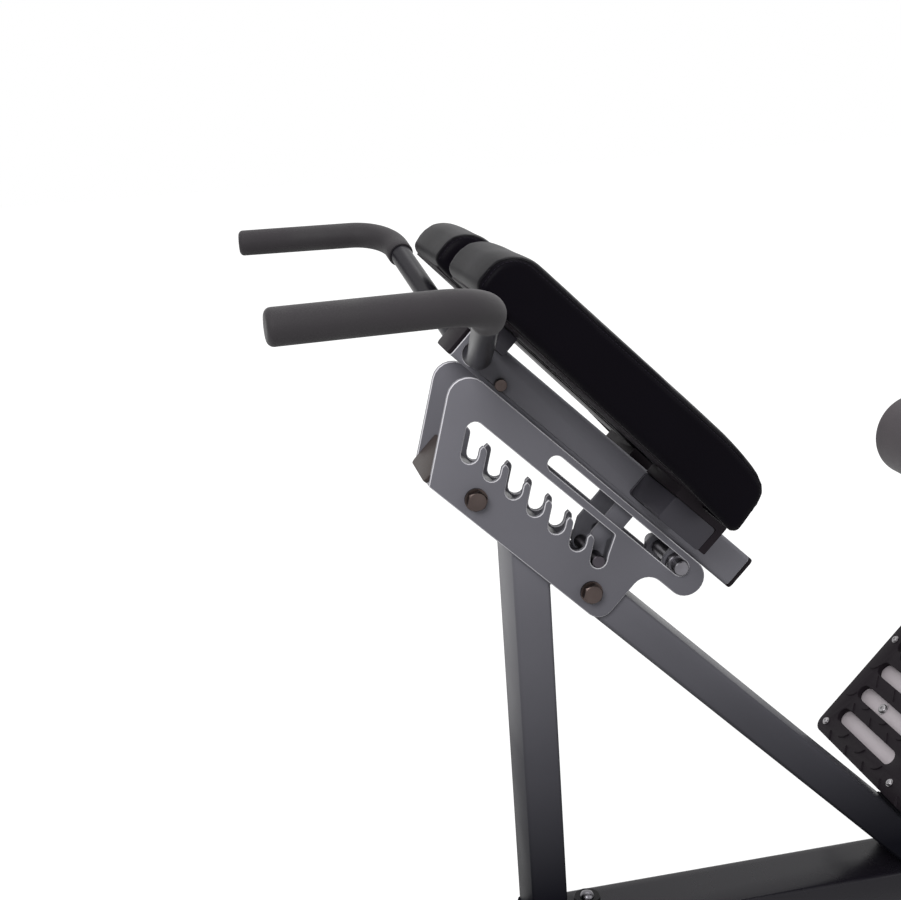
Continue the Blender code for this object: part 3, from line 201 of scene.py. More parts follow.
class BENCH_PG_hardware(bpy.types.PropertyGroup):
    """Sizes and colours of grips, caps, tread, screws and welds."""

    rubber: colour_setting("Grip rubber", "Colour of the hand grips and foot pads", (0.017, 0.0145, 0.017))
    plastic: colour_setting("Moulded black", "Colour of caps and tread", (0.010, 0.0075, 0.010))
    strut_cap: colour_setting(
        "Strut cap", "Brownish black of the cap on the strut's upper end", (0.056, 0.045, 0.042),
    )
    screws: colour_setting("Screws", "Bright plating of the tread's screws", (0.36, 0.35, 0.36))
    rib_length: length_setting("Rib length", "Length of the tread's raised ribs", 18 * MM)
    rib_height: length_setting("Rib height", "Height of the tread's raised ribs", 1.4 * MM)
    weld_width: length_setting("Weld width", "Width of the fillet welds", 4.4 * MM, 1 * MM)


class BENCH_PG_stage(bpy.types.PropertyGroup):
    """Strengths of the studio light."""

    key_power: power_setting("Key light", "Power of the large light at the front left", 84)
    fill_power: power_setting("Fill light", "Power of the light at the front right", 18)
    top_power: power_setting("Top light", "Power of the light overhead", 34)
    floor_bounce: FloatProperty(
        name="Floor bounce", description="How much of the light the floor throws back up",
        min=0, max=1, default=0.25,
    )


def deselect_all():
    """Leave nothing selected."""
    if bpy.context.object and bpy.context.object.mode != "OBJECT":
        bpy.ops.object.mode_set(mode="OBJECT")
    for item in bpy.context.selected_objects:
        item.select_set(False)


def make_active(item):
    """Select one object and nothing else."""
    deselect_all()
    item.select_set(True)
    bpy.context.view_layer.objects.active = item


def edit_mode(item):
    """Open an object's mesh for editing with nothing selected."""
    make_active(item)
    bpy.ops.object.mode_set(mode="EDIT")
    bpy.ops.mesh.select_all(action="DESELECT")


def object_mode():
    """Close the mesh that is being edited."""
    bpy.ops.object.mode_set(mode="OBJECT")


def pick(item, kind, test):
    """Select the vertices, edges or faces that pass a test."""
    bpy.ops.mesh.select_mode(type={"verts": "VERT", "edges": "EDGE", "faces": "FACE"}[kind])
    bpy.ops.mesh.select_all(action="DESELECT")
    work = bmesh.from_edit_mesh(item.data)
    for element in getattr(work, kind):
        if test(element):
            element.select_set(True)
    work.select_flush_mode()
    bmesh.update_edit_mesh(item.data)


def named(name):
    """Name the object that was just added."""
    item = bpy.context.object
    item.name = name
    item.data.name = name
    return item


def add_piece(name, mesh):
    """Put a finished mesh into the scene as a piece."""
    mesh.name = name
    item = bpy.data.objects.new(name, mesh)
    bpy.context.scene.collection.objects.link(item)
    return item


def apply_place(item, matrix=None):
    """Put a piece at its place and leave its object at the origin."""
    if matrix is not None:
        item.matrix_world = matrix @ item.matrix_world
    make_active(item)
    bpy.ops.object.transform_apply(location=True, rotation=True, scale=True)


def apply_all(item):
    """Apply a piece's modifiers in order."""
    make_active(item)
    for step in list(item.modifiers):
        bpy.ops.object.modifier_apply(modifier=step.name)


def trim(item, tool, how="DIFFERENCE"):
    """Cut a piece with a tool, or keep only what lies inside it; the tool is removed."""
    step = item.modifiers.new("trim", "BOOLEAN")
    step.operation = how
    step.solver = "MANIFOLD"
    step.object = tool
    apply_all(item)
    bpy.data.objects.remove(tool)


def face_outwards(item):
    """Merge doubles and turn all faces outwards."""
    edit_mode(item)
    bpy.ops.mesh.select_all(action="SELECT")
    bpy.ops.mesh.remove_doubles(threshold=0.01 * MM)
    bpy.ops.mesh.normals_make_consistent(inside=False)
    object_mode()


def smooth(item, angle=35):
    """Shade round faces smoothly and keep edges above the angle sharp."""
    make_active(item)
    bpy.ops.object.shade_smooth_by_angle(angle=math.radians(angle))


def dress(item, material, body):
    """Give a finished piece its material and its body."""
    item.data.materials.clear()
    item.data.materials.append(material)
    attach(item, body)


def mirrored(item, name):
    """A copy of a finished piece, mirrored across the bench's middle plane."""
    mesh = item.data.copy()
    mesh.transform(Matrix.Diagonal((1, -1, 1, 1)))
    mesh.flip_normals()
    return add_piece(name, mesh)


def near_and_far(item):
    """A near piece and its mirrored far copy, each with its label."""
    return (item, "near"), (mirrored(item, item.name.replace("near", "far")), "far")


def copies_as_one(source, name, places):
    """One piece from copies of a small mesh at each of the places; the source is removed."""
    work = bmesh.new()
    for place in places:
        first = len(work.verts)
        work.from_mesh(source.data)
        work.verts.ensure_lookup_table()
        bmesh.ops.transform(work, matrix=place, verts=work.verts[first:])
    bmesh.ops.recalc_face_normals(work, faces=work.faces)
    mesh = bpy.data.meshes.new(name)
    work.to_mesh(mesh)
    work.free()
    bpy.data.objects.remove(source)
    return add_piece(name, mesh)


def arc_corner(before, corner, after, radius, steps):
    """Points of the arc that turns a corner."""
    back = (before - corner).normalized()
    ahead = (after - corner).normalized()
    half = back.angle(ahead) / 2
    middle = corner + (back + ahead).normalized() * (radius / math.sin(half))
    first = corner + back * (radius / math.tan(half)) - middle
    sweep = math.pi - 2 * half
    last = corner + ahead * (radius / math.tan(half)) - middle
    square = (last - first * math.cos(sweep)).normalized() * radius
    turns = [sweep * step / steps for step in range(steps + 1)]
    return [middle + first * math.cos(turn) + square * math.sin(turn) for turn in turns]


def round_loop(corners, steps=8):
    """Closed path through (place, radius) corners, each turned with an arc."""
    path = []
    count = len(corners)
    for index, (corner, radius) in enumerate(corners):
        before = corners[index - 1][0]
        after = corners[(index + 1) % count][0]
        path += arc_corner(before, corner, after, radius, steps)
    return path


def even_points(path, spacing, closed=True):
    """Points at even distances along a path, each with its direction."""
    ends = path + [path[0]] if closed else path
    lengths = [(b - a).length for a, b in zip(ends, ends[1:])]
    total = sum(lengths)
    count = max(2, round(total / spacing))
    places = []
    index = 0
    passed = 0
    for number in range(count if closed else count + 1):
        want = min(number * total / count, total - 0.001 * MM)
        while passed + lengths[index] < want:
            passed += lengths[index]
            index += 1
        along = (ends[index + 1] - ends[index]).normalized()
        places.append((ends[index] + along * (want - passed), along))
    return places


def round_bar(name, path, radii, roundness, closed=False):
    """A round bar along a path with a radius for each point, as a mesh."""
    curve = bpy.data.curves.new(name, "CURVE")
    curve.dimensions = "3D"
    curve.bevel_depth = 1
    curve.bevel_resolution = roundness
    curve.use_fill_caps = not closed
    spline = curve.splines.new("POLY")
    spline.points.add(len(path) - 1)
    for point, place, radius in zip(spline.points, path, radii):
        point.co = (*place, 1)
        point.radius = radius
    spline.use_cyclic_u = closed
    item = bpy.data.objects.new(name, curve)
    bpy.context.scene.collection.objects.link(item)
    make_active(item)
    bpy.ops.object.convert(target="MESH")
    item = named(name)
    face_outwards(item)
    return item


def shader_of(material):
    """The material's main shader."""
    return material.node_tree.nodes["Principled BSDF"]


def plain_material(name, colour, metallic, roughness, gloss=0.5, sheen=0, sheen_roughness=0.5):
    """A material with its even values set on its shader."""
    material = bpy.data.materials.new(name)
    material.use_nodes = True
    values = {
        "Base Color": (*colour, 1),
        "Metallic": metallic,
        "Roughness": roughness,
        "Specular IOR Level": gloss,
        "Sheen Weight": sheen,
        "Sheen Roughness": sheen_roughness,
    }
    for key, value in values.items():
        shader_of(material).inputs[key].default_value = value
    return material


def add_node(material, kind, **values):
    """A node in the material, with inputs set by name."""
    node = material.node_tree.nodes.new(kind)
    for key, value in values.items():
        node.inputs[key].default_value = value
    return node


def link(material, start, end):
    """Join two sockets."""
    material.node_tree.links.new(start, end)


def pattern_space(material, stretch=(1, 1, 1)):
    """Object coordinates, stretched along each axis."""
    place = add_node(material, "ShaderNodeTexCoord")
    mapping = add_node(material, "ShaderNodeMapping")
    mapping.inputs["Scale"].default_value = stretch
    link(material, place.outputs["Object"], mapping.inputs["Vector"])
    return mapping.outputs["Vector"]


def height_share(material, low, high):
    """0 below one height of the object, 1 above another."""
    parts = add_node(material, "ShaderNodeSeparateXYZ")
    link(material, pattern_space(material), parts.inputs["Vector"])
    return spread(material, parts.outputs["Z"], low, high, 0, 1)


def grain(material, space, scale, detail=3, roughness=0.5):
    """Soft random pattern between 0 and 1."""
    node = add_node(material, "ShaderNodeTexNoise", Scale=scale, Detail=detail, Roughness=roughness)
    link(material, space, node.inputs["Vector"])
    return node.outputs["Fac"]


def cells(material, space, scale, smoothness=0.4):
    """Soft cell pattern: distance to the nearest cell middle."""
    node = add_node(material, "ShaderNodeTexVoronoi", Scale=scale)
    node.feature = "SMOOTH_F1"
    node.inputs["Smoothness"].default_value = smoothness
    link(material, space, node.inputs["Vector"])
    return node.outputs["Distance"]


def spread(material, value, low_in, high_in, low, high):
    """Map a pattern from one range to another, held at the ends."""
    node = material.node_tree.nodes.new("ShaderNodeMapRange")
    for key, number in (("From Min", low_in), ("From Max", high_in), ("To Min", low), ("To Max", high)):
        node.inputs[key].default_value = number
    link(material, value, node.inputs["Value"])
    return node.outputs["Result"]


def blend_colours(material, share, first, second):
    """Colour between two, by a share; each may be a colour or a socket."""
    node = material.node_tree.nodes.new("ShaderNodeMix")
    node.data_type = "RGBA"
    link(material, share, node.inputs["Factor"])
    colours = [socket for socket in node.inputs if socket.type == "RGBA"]
    for socket, colour in zip(colours, (first, second)):
        if hasattr(colour, "is_linked"):
            link(material, colour, socket)
        else:
            socket.default_value = (*colour, 1)
    return [socket for socket in node.outputs if socket.type == "RGBA"][0]


def relief(material, height, deep, before=None):
    """Small relief on the surface; returns the normal."""
    node = add_node(material, "ShaderNodeBump", Strength=1.0, Distance=deep)
    link(material, height, node.inputs["Height"])
    if before is not None:
        link(material, before, node.inputs["Normal"])
    return node.outputs["Normal"]


def shade(colour, share):
    """A colour made lighter or darker."""
    return tuple(min(1.0, part * share) for part in colour)


def cloudy(material, colour, pattern, darker, lighter):
    """Colour that wavers between a darker and a lighter tone."""
    share = spread(material, pattern, 0.3, 0.7, 0, 1)
    return blend_colours(material, share, shade(colour, darker), shade(colour, lighter))


def lay_on(material, tone, normal, pattern=None, low=0, high=0):
    """Give a material its tone, its relief and, with a pattern, a roughness that follows it."""
    inputs = shader_of(material).inputs
    link(material, tone, inputs["Base Color"])
    if pattern is not None:
        link(material, spread(material, pattern, 0.3, 0.7, low, high), inputs["Roughness"])
    link(material, normal, inputs["Normal"])
    return material


def powder_coat(name, colour, roughness=0.38, gloss=0.2, painted_shade_tone=None):
    """Satin powder coat: orange-peel relief, faint clouding and, if asked, painted shade low down that darkens its
    colour and gloss.
    """
    material = plain_material(name, colour, 0, roughness, gloss)
    space = pattern_space(material)
    cloud = grain(material, space, 9, 4)
    tone = cloudy(material, colour, cloud, 0.94, 1.06)
    if painted_shade_tone is not None:
        # Painted shade: the colour is blended to the darker tone and the specular level lowered towards the floor.
        share = height_share(material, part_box("base_beam")[1].z + PAINTED_SHADE_DARKEST_OVER_BEAM, BOLT.z + PAINTED_SHADE_ENDS_OVER_BOLT)
        tone = blend_colours(material, share, painted_shade_tone, tone)
        level = spread(material, share, 0.3, 1, 0.01, gloss)
        link(material, level, shader_of(material).inputs["Specular IOR Level"])
    peel = relief(material, grain(material, space, 700, 2), 0.06 * MM)
    return lay_on(material, tone, peel, cloud, roughness - 0.04, roughness + 0.05)


def plated_steel(name, colour, roughness=0.32, dark_below=None):
    """Plated steel with fine turning marks and dull patches; black below a height, if asked."""
    material = plain_material(name, colour, 1, roughness)
    patches = grain(material, pattern_space(material), 60, 5)
    marks = grain(material, pattern_space(material, (1, 30, 1)), 90, 2)
    tone = cloudy(material, colour, patches, 1.0, 0.8)
    if dark_below is not None:
        share = height_share(material, dark_below, dark_below + 0.1 * MM)
        tone = blend_colours(material, share, shade(colour, 0.06), tone)
    turned = relief(material, marks, 0.03 * MM)
    return lay_on(material, tone, turned, patches, roughness - 0.05, roughness + 0.12)


def pale_steel(name, colour):
    """Light satin steel sheet with a rolled grain along its width."""
    material = plain_material(name, colour, 0.2, 0.42, 0.4)
    streaks = grain(material, pattern_space(material, (60, 4, 60)), 12, 3)
    stains = grain(material, pattern_space(material), 18, 4)
    tone = cloudy(material, colour, stains, 1.0, 0.9)
    return lay_on(material, tone, relief(material, streaks, 0.03 * MM), streaks, 0.36, 0.5)


def moulded_black(name, colour, roughness=0.5, gloss=0.09):
    """Moulded black plastic with a fine spark texture."""
    material = plain_material(name, colour, 0, roughness, gloss)
    space = pattern_space(material)
    texture = relief(material, grain(material, space, 1300, 3), 0.08 * MM)
    cloud = grain(material, space, 14, 3)
    tone = cloudy(material, colour, cloud, 0.85, 1.2)
    return lay_on(material, tone, texture, cloud, roughness - 0.06, roughness + 0.07)


def soft_rubber(name, colour, roughness=0.72):
    """Matte rubber with a grainy skin and a faint dusty sheen."""
    material = plain_material(name, colour, 0, roughness, 0.35, sheen=0.1)
    space = pattern_space(material)
    skin = relief(material, cells(material, space, 900), 0.1 * MM)
    dust = grain(material, space, 25, 5)
    tone = cloudy(material, colour, dust, 0.85, 1.3)
    return lay_on(material, tone, skin, dust, roughness - 0.07, roughness + 0.1)


def upholstery_vinyl(name, colour, roughness=0.42, gloss=0.03, cell=1100):
    """Grained upholstery vinyl: pebbled cells, soft creases and rubbed, slightly glossier patches."""
    material = plain_material(name, colour, 0, roughness, gloss, sheen=0.06, sheen_roughness=0.3)
    space = pattern_space(material)
    pebbles = relief(material, cells(material, space, cell, 0.6), 0.1 * MM)
    creases = grain(material, pattern_space(material, (1, 0.5, 1)), 45, 6, 0.6)
    wear = grain(material, space, 7, 4)
    tone = cloudy(material, colour, wear, 1.0, 1.5)
    skin = relief(material, creases, 0.15 * MM, pebbles)
    return lay_on(material, tone, skin, wear, roughness + 0.05, roughness - 0.06)


def sewing_thread(name, colour):
    """Twisted polyester thread."""
    material = plain_material(name, colour, 0, 0.6, 0.1)
    twist = grain(material, pattern_space(material), 2500, 2)
    return lay_on(material, cloudy(material, colour, twist, 0.7, 1.4), relief(material, twist, 0.1 * MM))


def round_face_nodes():
    """Geometry nodes that shade faces smoothly and keep only real edges sharp."""
    name = "smooth_round_faces"
    if name in bpy.data.node_groups:
        return bpy.data.node_groups[name]
    group = bpy.data.node_groups.new(name, "GeometryNodeTree")
    group.interface.new_socket("Geometry", in_out="INPUT", socket_type="NodeSocketGeometry")
    group.interface.new_socket("Geometry", in_out="OUTPUT", socket_type="NodeSocketGeometry")
    start = group.nodes.new("NodeGroupInput")
    end = group.nodes.new("NodeGroupOutput")
    angle = group.nodes.new("GeometryNodeInputMeshEdgeAngle")
    sharp = group.nodes.new("FunctionNodeCompare")
    sharp.operation = "GREATER_THAN"
    sharp.inputs["B"].default_value = math.radians(35)
    normals = group.nodes.new("GeometryNodeSetMeshNormal")
    normals.mode = "SHARPNESS"
    links = group.links
    links.new(angle.outputs["Unsigned Angle"], sharp.inputs["A"])
    links.new(start.outputs[0], normals.inputs["Mesh"])
    links.new(sharp.outputs["Result"], normals.inputs["Edge Sharpness"])
    links.new(normals.outputs["Mesh"], end.inputs[0])
    return group


def ease_edges(item, width, highlight_coat=None):
    """Join a CAD node's triangles for display, round its edges, give the bevel faces a painted highlight if a coat
    is given, and shade its round faces smoothly.
    """
    weld = item.modifiers.new("join", "WELD")
    weld.merge_threshold = 0.01 * MM
    if width > 0:
        flat = item.modifiers.new("flats", "DECIMATE")
        flat.decimate_type = "DISSOLVE"
        flat.angle_limit = math.radians(0.5)
        edge = item.modifiers.new("edges", "BEVEL")
        edge.width = width
        edge.segments = 1 if highlight_coat else 2
        edge.limit_method = "ANGLE"
        edge.angle_limit = math.radians(50)
        edge.use_clamp_overlap = highlight_coat is None
        edge.loop_slide = highlight_coat is None
        # The bevel faces get the painted edge highlight coat.
        if highlight_coat:
            item.data.materials.append(highlight_coat)
            edge.material = len(item.data.materials) - 1
    rounding = item.modifiers.new("rounding", "NODES")
    rounding.node_group = round_face_nodes()


def slot_finishes(paint, hardware):
    """Finish of each material slot of the record."""
    return {
        # The graphite coat carries painted shade towards the floor.
        "graphite_paint": powder_coat("graphite_powder_coat", paint.graphite, painted_shade_tone=paint.graphite_painted_shade),
        "base_paint": powder_coat("base_powder_coat", paint.base, 0.26),
        "zinc": plated_steel("satin_rod_steel", paint.rods),
        "plate_steel": pale_steel("foot_plate_steel", paint.steel),
        "black_plastic": moulded_black("moulded_black_plastic", hardware.plastic),
        "foot_rubber": soft_rubber("foot_rubber", hardware.rubber, 0.8),
    }


def own_finishes(paint, hardware):
    """Finish of each node that differs from the rest of its slot."""
    beam_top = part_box("base_beam")[1].z
    bracket = powder_coat("bracket_powder_coat", paint.bracket)
    bolts = plated_steel("dulled_bolt_plating", paint.bolts)
    washer_top = beam_top + 2.9 * MM
    beam_bolts = plated_steel("bolt_on_black_washer", paint.rods, dark_below=washer_top)
    own = {
        "strut_cap": moulded_black("brown_moulded_cap", hardware.strut_cap, 0.42),
        "latch_rod": plated_steel("oiled_latch_steel", paint.latch),
        "carriage_bolt": bolts,
        "pad_saddle": bracket,
        "carriage_tube": powder_coat("carriage_powder_coat", shade(paint.graphite, 0.85)),
    }
    for _, label in SIDES:
        own[f"pad_bracket_{label}"] = bracket
        own[f"beam_bolt_{label}"] = beam_bolts
    for label in ("upper", "lower"):
        own[f"through_bolt_{label}"] = bolts
        own[f"through_nut_{label}"] = bolts
    return own


class BENCH_OT_frame_finish(bpy.types.Operator):
    """Paint, plate and ease the edges of every carried-over frame part"""

    bl_idname = "bench.frame_finish"
    bl_label = "Finish the frame"

    def execute(self, context):
        paint = context.scene.bench_paint
        hardware = context.scene.bench_hardware
        finishes = slot_finishes(paint, hardware)
        own = own_finishes(paint, hardware)
        # Painted highlight for the bevelled edges of the powder coat, with painted shade towards the floor as
        # well.
        highlight_coat = powder_coat("worn_edge_coat", paint.worn_edge, 0.3, 0.4, shade(paint.worn_edge, 0.3))
        painted = ("side_plate", "strut", "front_leg", "base_beam", "carriage_tube", "cross_foot")
        turned = ("rod", "bush", "bolt", "nut", "roller_bar", "stop", "foot_pad")
        for part in frame["record"]["subparts"]:
            name = part["node"]
            finish = own.get(name) or finishes.get(part["material_slot"])
            if not finish:
                continue
            item = frame["nodes"][name]
            for slot in item.material_slots:
                slot.material = finish
            width = 0 if any(word in name for word in turned) else paint.edge
            is_painted = any(word in name for word in painted) and "cap" not in name
            ease_edges(item, width, highlight_coat if is_painted else None)
        return {"FINISHED"}


def pad_outline(node, inset, steps, taper=1.0):
    """Side outline of a thigh pad in slope coordinates (s, n), set in by less towards its lower end."""
    low, high = slope_box(node)
    top = high.z - PAD_CROWN
    height = under_line(node)
    corners = [
        (Vector((low.x + PAD_LEAN, low.z + UNDER_RISE, 0)), 9 * MM),
        (Vector((high.x - PAD_SAG_RUN, height(high.x - PAD_SAG_RUN), 0)), 400 * MM),
        (Vector((high.x, height(high.x), 0)), 6 * MM),
        (Vector((high.x - PAD_TIP_BACK, top - PAD_TIP_DROP, 0)), 20 * MM),
        (Vector((low.x + PAD_BREAK_S, top - PAD_BREAK_DROP, 0)), 340 * MM),
        (Vector((low.x - 1 * MM, top, 0)), 31 * MM),
    ]
    path = round_loop(corners, steps)
    count = len(path)
    moved = []
    for index, point in enumerate(path):
        along = (path[(index + 1) % count] - path[index - 1]).normalized()
        closer = 1 - taper * max(0, (point.x - (low.x + PAD_BREAK_S / 2)) / (high.x - low.x))
        moved.append(point + Vector((-along.y, along.x, 0)) * inset * closer)
    return moved


def pad_blank(name, node):
    """Plain pad before it is blown up: the side outline, given width, with rounded long rims."""
    low, high = slope_box(node)
    margin = 3 * MM
    rim = 5 * MM
    outline = pad_outline(node, margin / 2, 6, 2.9)
    bpy.ops.mesh.primitive_circle_add(vertices=len(outline), radius=0.1, fill_type="NGON")
    item = named(name)
    for vert, place in zip(item.data.vertices, outline):
        vert.co = (place.x, place.y, 0)
    edit_mode(item)
    bpy.ops.mesh.select_all(action="SELECT")
    wide = high.y - low.y - 2 * margin
    bpy.ops.mesh.extrude_region_move(TRANSFORM_OT_translate={"value": (0, 0, wide)})
    pick(item, "edges", lambda edge: len({abs(face.normal.z) > 0.5 for face in edge.link_faces}) == 2)
    bpy.ops.mesh.bevel(offset=rim, segments=4, affect="EDGES")
    object_mode()
    apply_place(item, axes(on_slope(0, high.y - margin, 0), DOWN_SLOPE, OFF_SLOPE))
    return item


def remesh(item, voxel):
    """Even quads all over."""
    step = item.modifiers.new("even", "REMESH")
    step.mode = "VOXEL"
    step.voxel_size = voxel
    apply_all(item)


def read_vertices(mesh, what):
    """One vector for each vertex of a mesh, as an array."""
    values = np.empty(3 * len(mesh.vertices))
    mesh.vertices.foreach_get(what, values)
    return values.reshape(-1, 3)


def even_out(mesh, values):
    """Each vertex's value halfway to the mean of its neighbours' values."""
    ends = np.empty(2 * len(mesh.edges), dtype=int)
    mesh.edges.foreach_get("vertices", ends)
    ends = ends.reshape(-1, 2)
    total = np.zeros(len(values))
    count = np.zeros(len(values))
    for this, other in ((0, 1), (1, 0)):
        np.add.at(total, ends[:, this], values[ends[:, other]])
        np.add.at(count, ends[:, this], 1)
    return (values + total / np.maximum(count, 1)) / 2


def blow_up(item, swell, firm):
    """Swell a cover under foam pressure, never inwards and with a limit on how far a point moves."""
    scene = bpy.context.scene
    cloth = item.modifiers.new("foam", "CLOTH")
    settings = cloth.settings
    settings.quality = 5
    settings.mass = 0.3
    settings.tension_stiffness = 12
    settings.compression_stiffness = 12
    settings.shear_stiffness = 6
    settings.bending_stiffness = firm
    settings.use_pressure = True
    settings.uniform_pressure_force = 4
    settings.effector_weights.gravity = 0
    cloth.collision_settings.use_collision = False
    for number in range(1, 21):
        scene.frame_set(number)
    graph = bpy.context.evaluated_depsgraph_get()
    grown = item.evaluated_get(graph).to_mesh()
    after = read_vertices(grown, "co")
    item.evaluated_get(graph).to_mesh_clear()
    item.modifiers.remove(cloth)
    scene.frame_set(1)
    before = read_vertices(item.data, "co")
    normals = read_vertices(item.data, "normal")
    outwards = np.clip(((after - before) * normals).sum(axis=1), 0, swell)
    for _ in range(12):
        outwards = even_out(item.data, outwards)
    places = before + normals * outwards[:, None]
    item.data.vertices.foreach_set("co", places.ravel())
    item.data.update()


def under_line(node, sag=PAD_SAG):
    """Height of the pad's underside at each s, with the cover sagging a little at the lower end."""
    low, high = slope_box(node)

    def height(s):
        droop = max(0, (s - (high.x - PAD_SAG_RUN)) / PAD_SAG_RUN) * sag
        return low.z + UNDER_RISE * (high.x - s) / (high.x - low.x - PAD_LEAN) - droop

    return height


def shape_cushion(item, node, inset):
    """Flatten the underside, draw the seams in and lay soft folds into the cover."""
    low, high = slope_box(node)
    height = under_line(node)
    line = [spot for spot in even_points(pad_outline(node, inset, 8), 0.7 * MM) if spot[1].x < 0.9]
    seam = KDTree(len(line))
    for index, (spot, _) in enumerate(line):
        seam.insert(spot, index)
    seam.balance()
    deep = 0.9 * MM
    wide = 2.2 * MM
    reach = 12 * MM
    fold_deep = 0.5 * MM
    ripple_deep = 0.12 * MM
    for vert in item.data.vertices:
        place = to_slope(vert.co)
        fold = random_field.noise(Vector((place.x * 14, place.y * 9, place.z * 14)))
        ripple = random_field.noise(Vector((place.x * 60, place.y * 22, place.z * 60)) + Vector((5, 0, 0)))
        vert.co += vert.normal * (fold * fold_deep + ripple * ripple_deep)
        place = to_slope(vert.co)
        flat = height(place.x)
        if place.z < flat:
            vert.co += OFF_SLOPE * (flat - place.z)
        from_near = place.y - low.y
        from_far = high.y - place.y
        if min(from_near, from_far) < reach:
            away = seam.find(Vector((place.x, place.z, 0)))[2]
            inwards = 1 if from_near < from_far else -1
            vert.co += ACROSS * (inwards * deep * math.exp(-(away / wide) ** 2))
    item.data.update()


def make_cushion(name, node, sizes):
    """One thigh pad's cushion."""
    item = pad_blank(name, node)
    remesh(item, 5 * MM)
    blow_up(item, sizes.swell, 3)
    step = item.modifiers.new("finer", "SUBSURF")
    step.levels = 1
    step.render_levels = 1
    apply_all(item)
    shape_cushion(item, node, sizes.seam_inset)
    return item


def sink_board(item, node):
    """Let the pad's board into its underside."""
    low, high = slope_box(node)
    ease = 0.6 * MM
    inset = BOARD_INSET - ease
    height = under_line(node, 0)
    first = low.x + inset
    last = high.x - inset
    ahead = (on_slope(last, 0, height(last)) - on_slope(first, 0, height(first))).normalized()
    middle = on_slope((first + last) / 2, (low.y + high.y) / 2, height((first + last) / 2))
    bpy.ops.mesh.primitive_cube_add(size=1)
    tool = named("board_recess")
    tool.scale = (last - first, high.y - low.y - 2 * inset, 2 * (BOARD_THICK + ease))
    apply_place(tool)
    apply_place(tool, axes(middle, ahead, ACROSS))
    trim(item, tool)


def one_stitch(length, thick):
    """A short round stitch with drawn-in ends, along local X."""
    bpy.ops.mesh.primitive_cylinder_add(vertices=6, radius=thick / 2, depth=length, end_fill_type="NGON")
    item = named("stitch")
    item.matrix_world = Matrix.Rotation(math.radians(90), 4, "Y")
    apply_place(item)
    edit_mode(item)
    pick(item, "edges", lambda edge: abs((edge.verts[0].co - edge.verts[1].co).x) > length / 2)
    bpy.ops.mesh.subdivide(number_cuts=3)
    object_mode()
    for vert in item.data.vertices:
        share = abs(vert.co.x) / (length / 2)
        vert.co.y *= 1 - 0.35 * share ** 4
        vert.co.z += thick * (0.2 - 0.55 * share ** 3)
    return item


def spots_on_cover(cushion, node, inset, spacing):
    """Rows of places round both sides of a cushion: the spot on the cover, its heading and its normal."""
    low, high = slope_box(node)
    tree = BVHTree.FromObject(cushion, bpy.context.evaluated_depsgraph_get())
    row = even_points(pad_outline(node, inset, 10), spacing)
    under = [along.x > 0.9 for _, along in row]
    start = under.index(True)
    order = [(start + step) % len(row) for step in range(len(row))]
    row = [row[index] for index in order if not under[index]]
    rows = []
    for y, inward in ((low.y, 1), (high.y, -1)):
        found = []
        for spot, along in row:
            hit, normal, _, _ = tree.ray_cast(on_slope(spot.x, y - inward * 30 * MM, spot.y), ACROSS * inward)
            if hit is None:
                continue
            ahead = DOWN_SLOPE * along.x + OFF_SLOPE * along.y
            ahead = (ahead - normal * ahead.dot(normal)).normalized()
            found.append((hit, ahead, normal))
        rows.append(found)
    return rows


def cover_welts(cushion, name, node, sizes):
    """The thin welt in the seam on each side of a cushion, as one piece."""
    beads = []
    for row in spots_on_cover(cushion, node, sizes.seam_inset, 2.5 * MM):
        path = [spot - normal * sizes.seam_wide * 0.15 for spot, _, normal in row]
        beads.append(round_bar("welt", path, [sizes.seam_wide / 2] * len(path), 1))
    make_active(beads[0])
    beads[1].select_set(True)
    bpy.ops.object.join()
    return named(name)


def cover_stitches(cushion, name, node, sizes):
    """The row of stitches beside the seam on both sides of a cushion."""
    beside = sizes.seam_inset + 2.4 * MM
    places = []
    for row in spots_on_cover(cushion, node, beside, sizes.stitch * 1.5):
        places += [axes(spot, ahead, normal.cross(ahead)) for spot, ahead, normal in row]
    return copies_as_one(one_stitch(sizes.stitch, 0.6 * MM), name, places)


class BENCH_OT_thigh_pads(bpy.types.Operator):
    """Upholster the two thigh pads: foam cushion, drawn seam with its welt and a row of stitches"""

    bl_idname = "bench.thigh_pads"
    bl_label = "Thigh pads"

    def execute(self, context):
        sizes = context.scene.bench_cushions
        vinyl = upholstery_vinyl("black_pad_vinyl", sizes.vinyl)
        piping = upholstery_vinyl("black_piping", shade(sizes.vinyl, 0.5), 0.6, 0.05)
        thread = sewing_thread("black_sewing_thread", shade(sizes.vinyl, 5))
        cushion = make_cushion("thigh_cushion_near", "thigh_pad_near", sizes)
        welts = cover_welts(cushion, "pad_welts_near", "thigh_pad_near", sizes)
        stitches = cover_stitches(cushion, "pad_stitches_near", "thigh_pad_near", sizes)
        sink_board(cushion, "thigh_pad_near")
        for item, finish in ((cushion, vinyl), (welts, piping), (stitches, thread)):
            smooth(item, 60)
            for piece, label in near_and_far(item):
                dress(piece, finish, "carriage")
                if item is cushion:
                    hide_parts(f"thigh_pad_{label}")
        return {"FINISHED"}


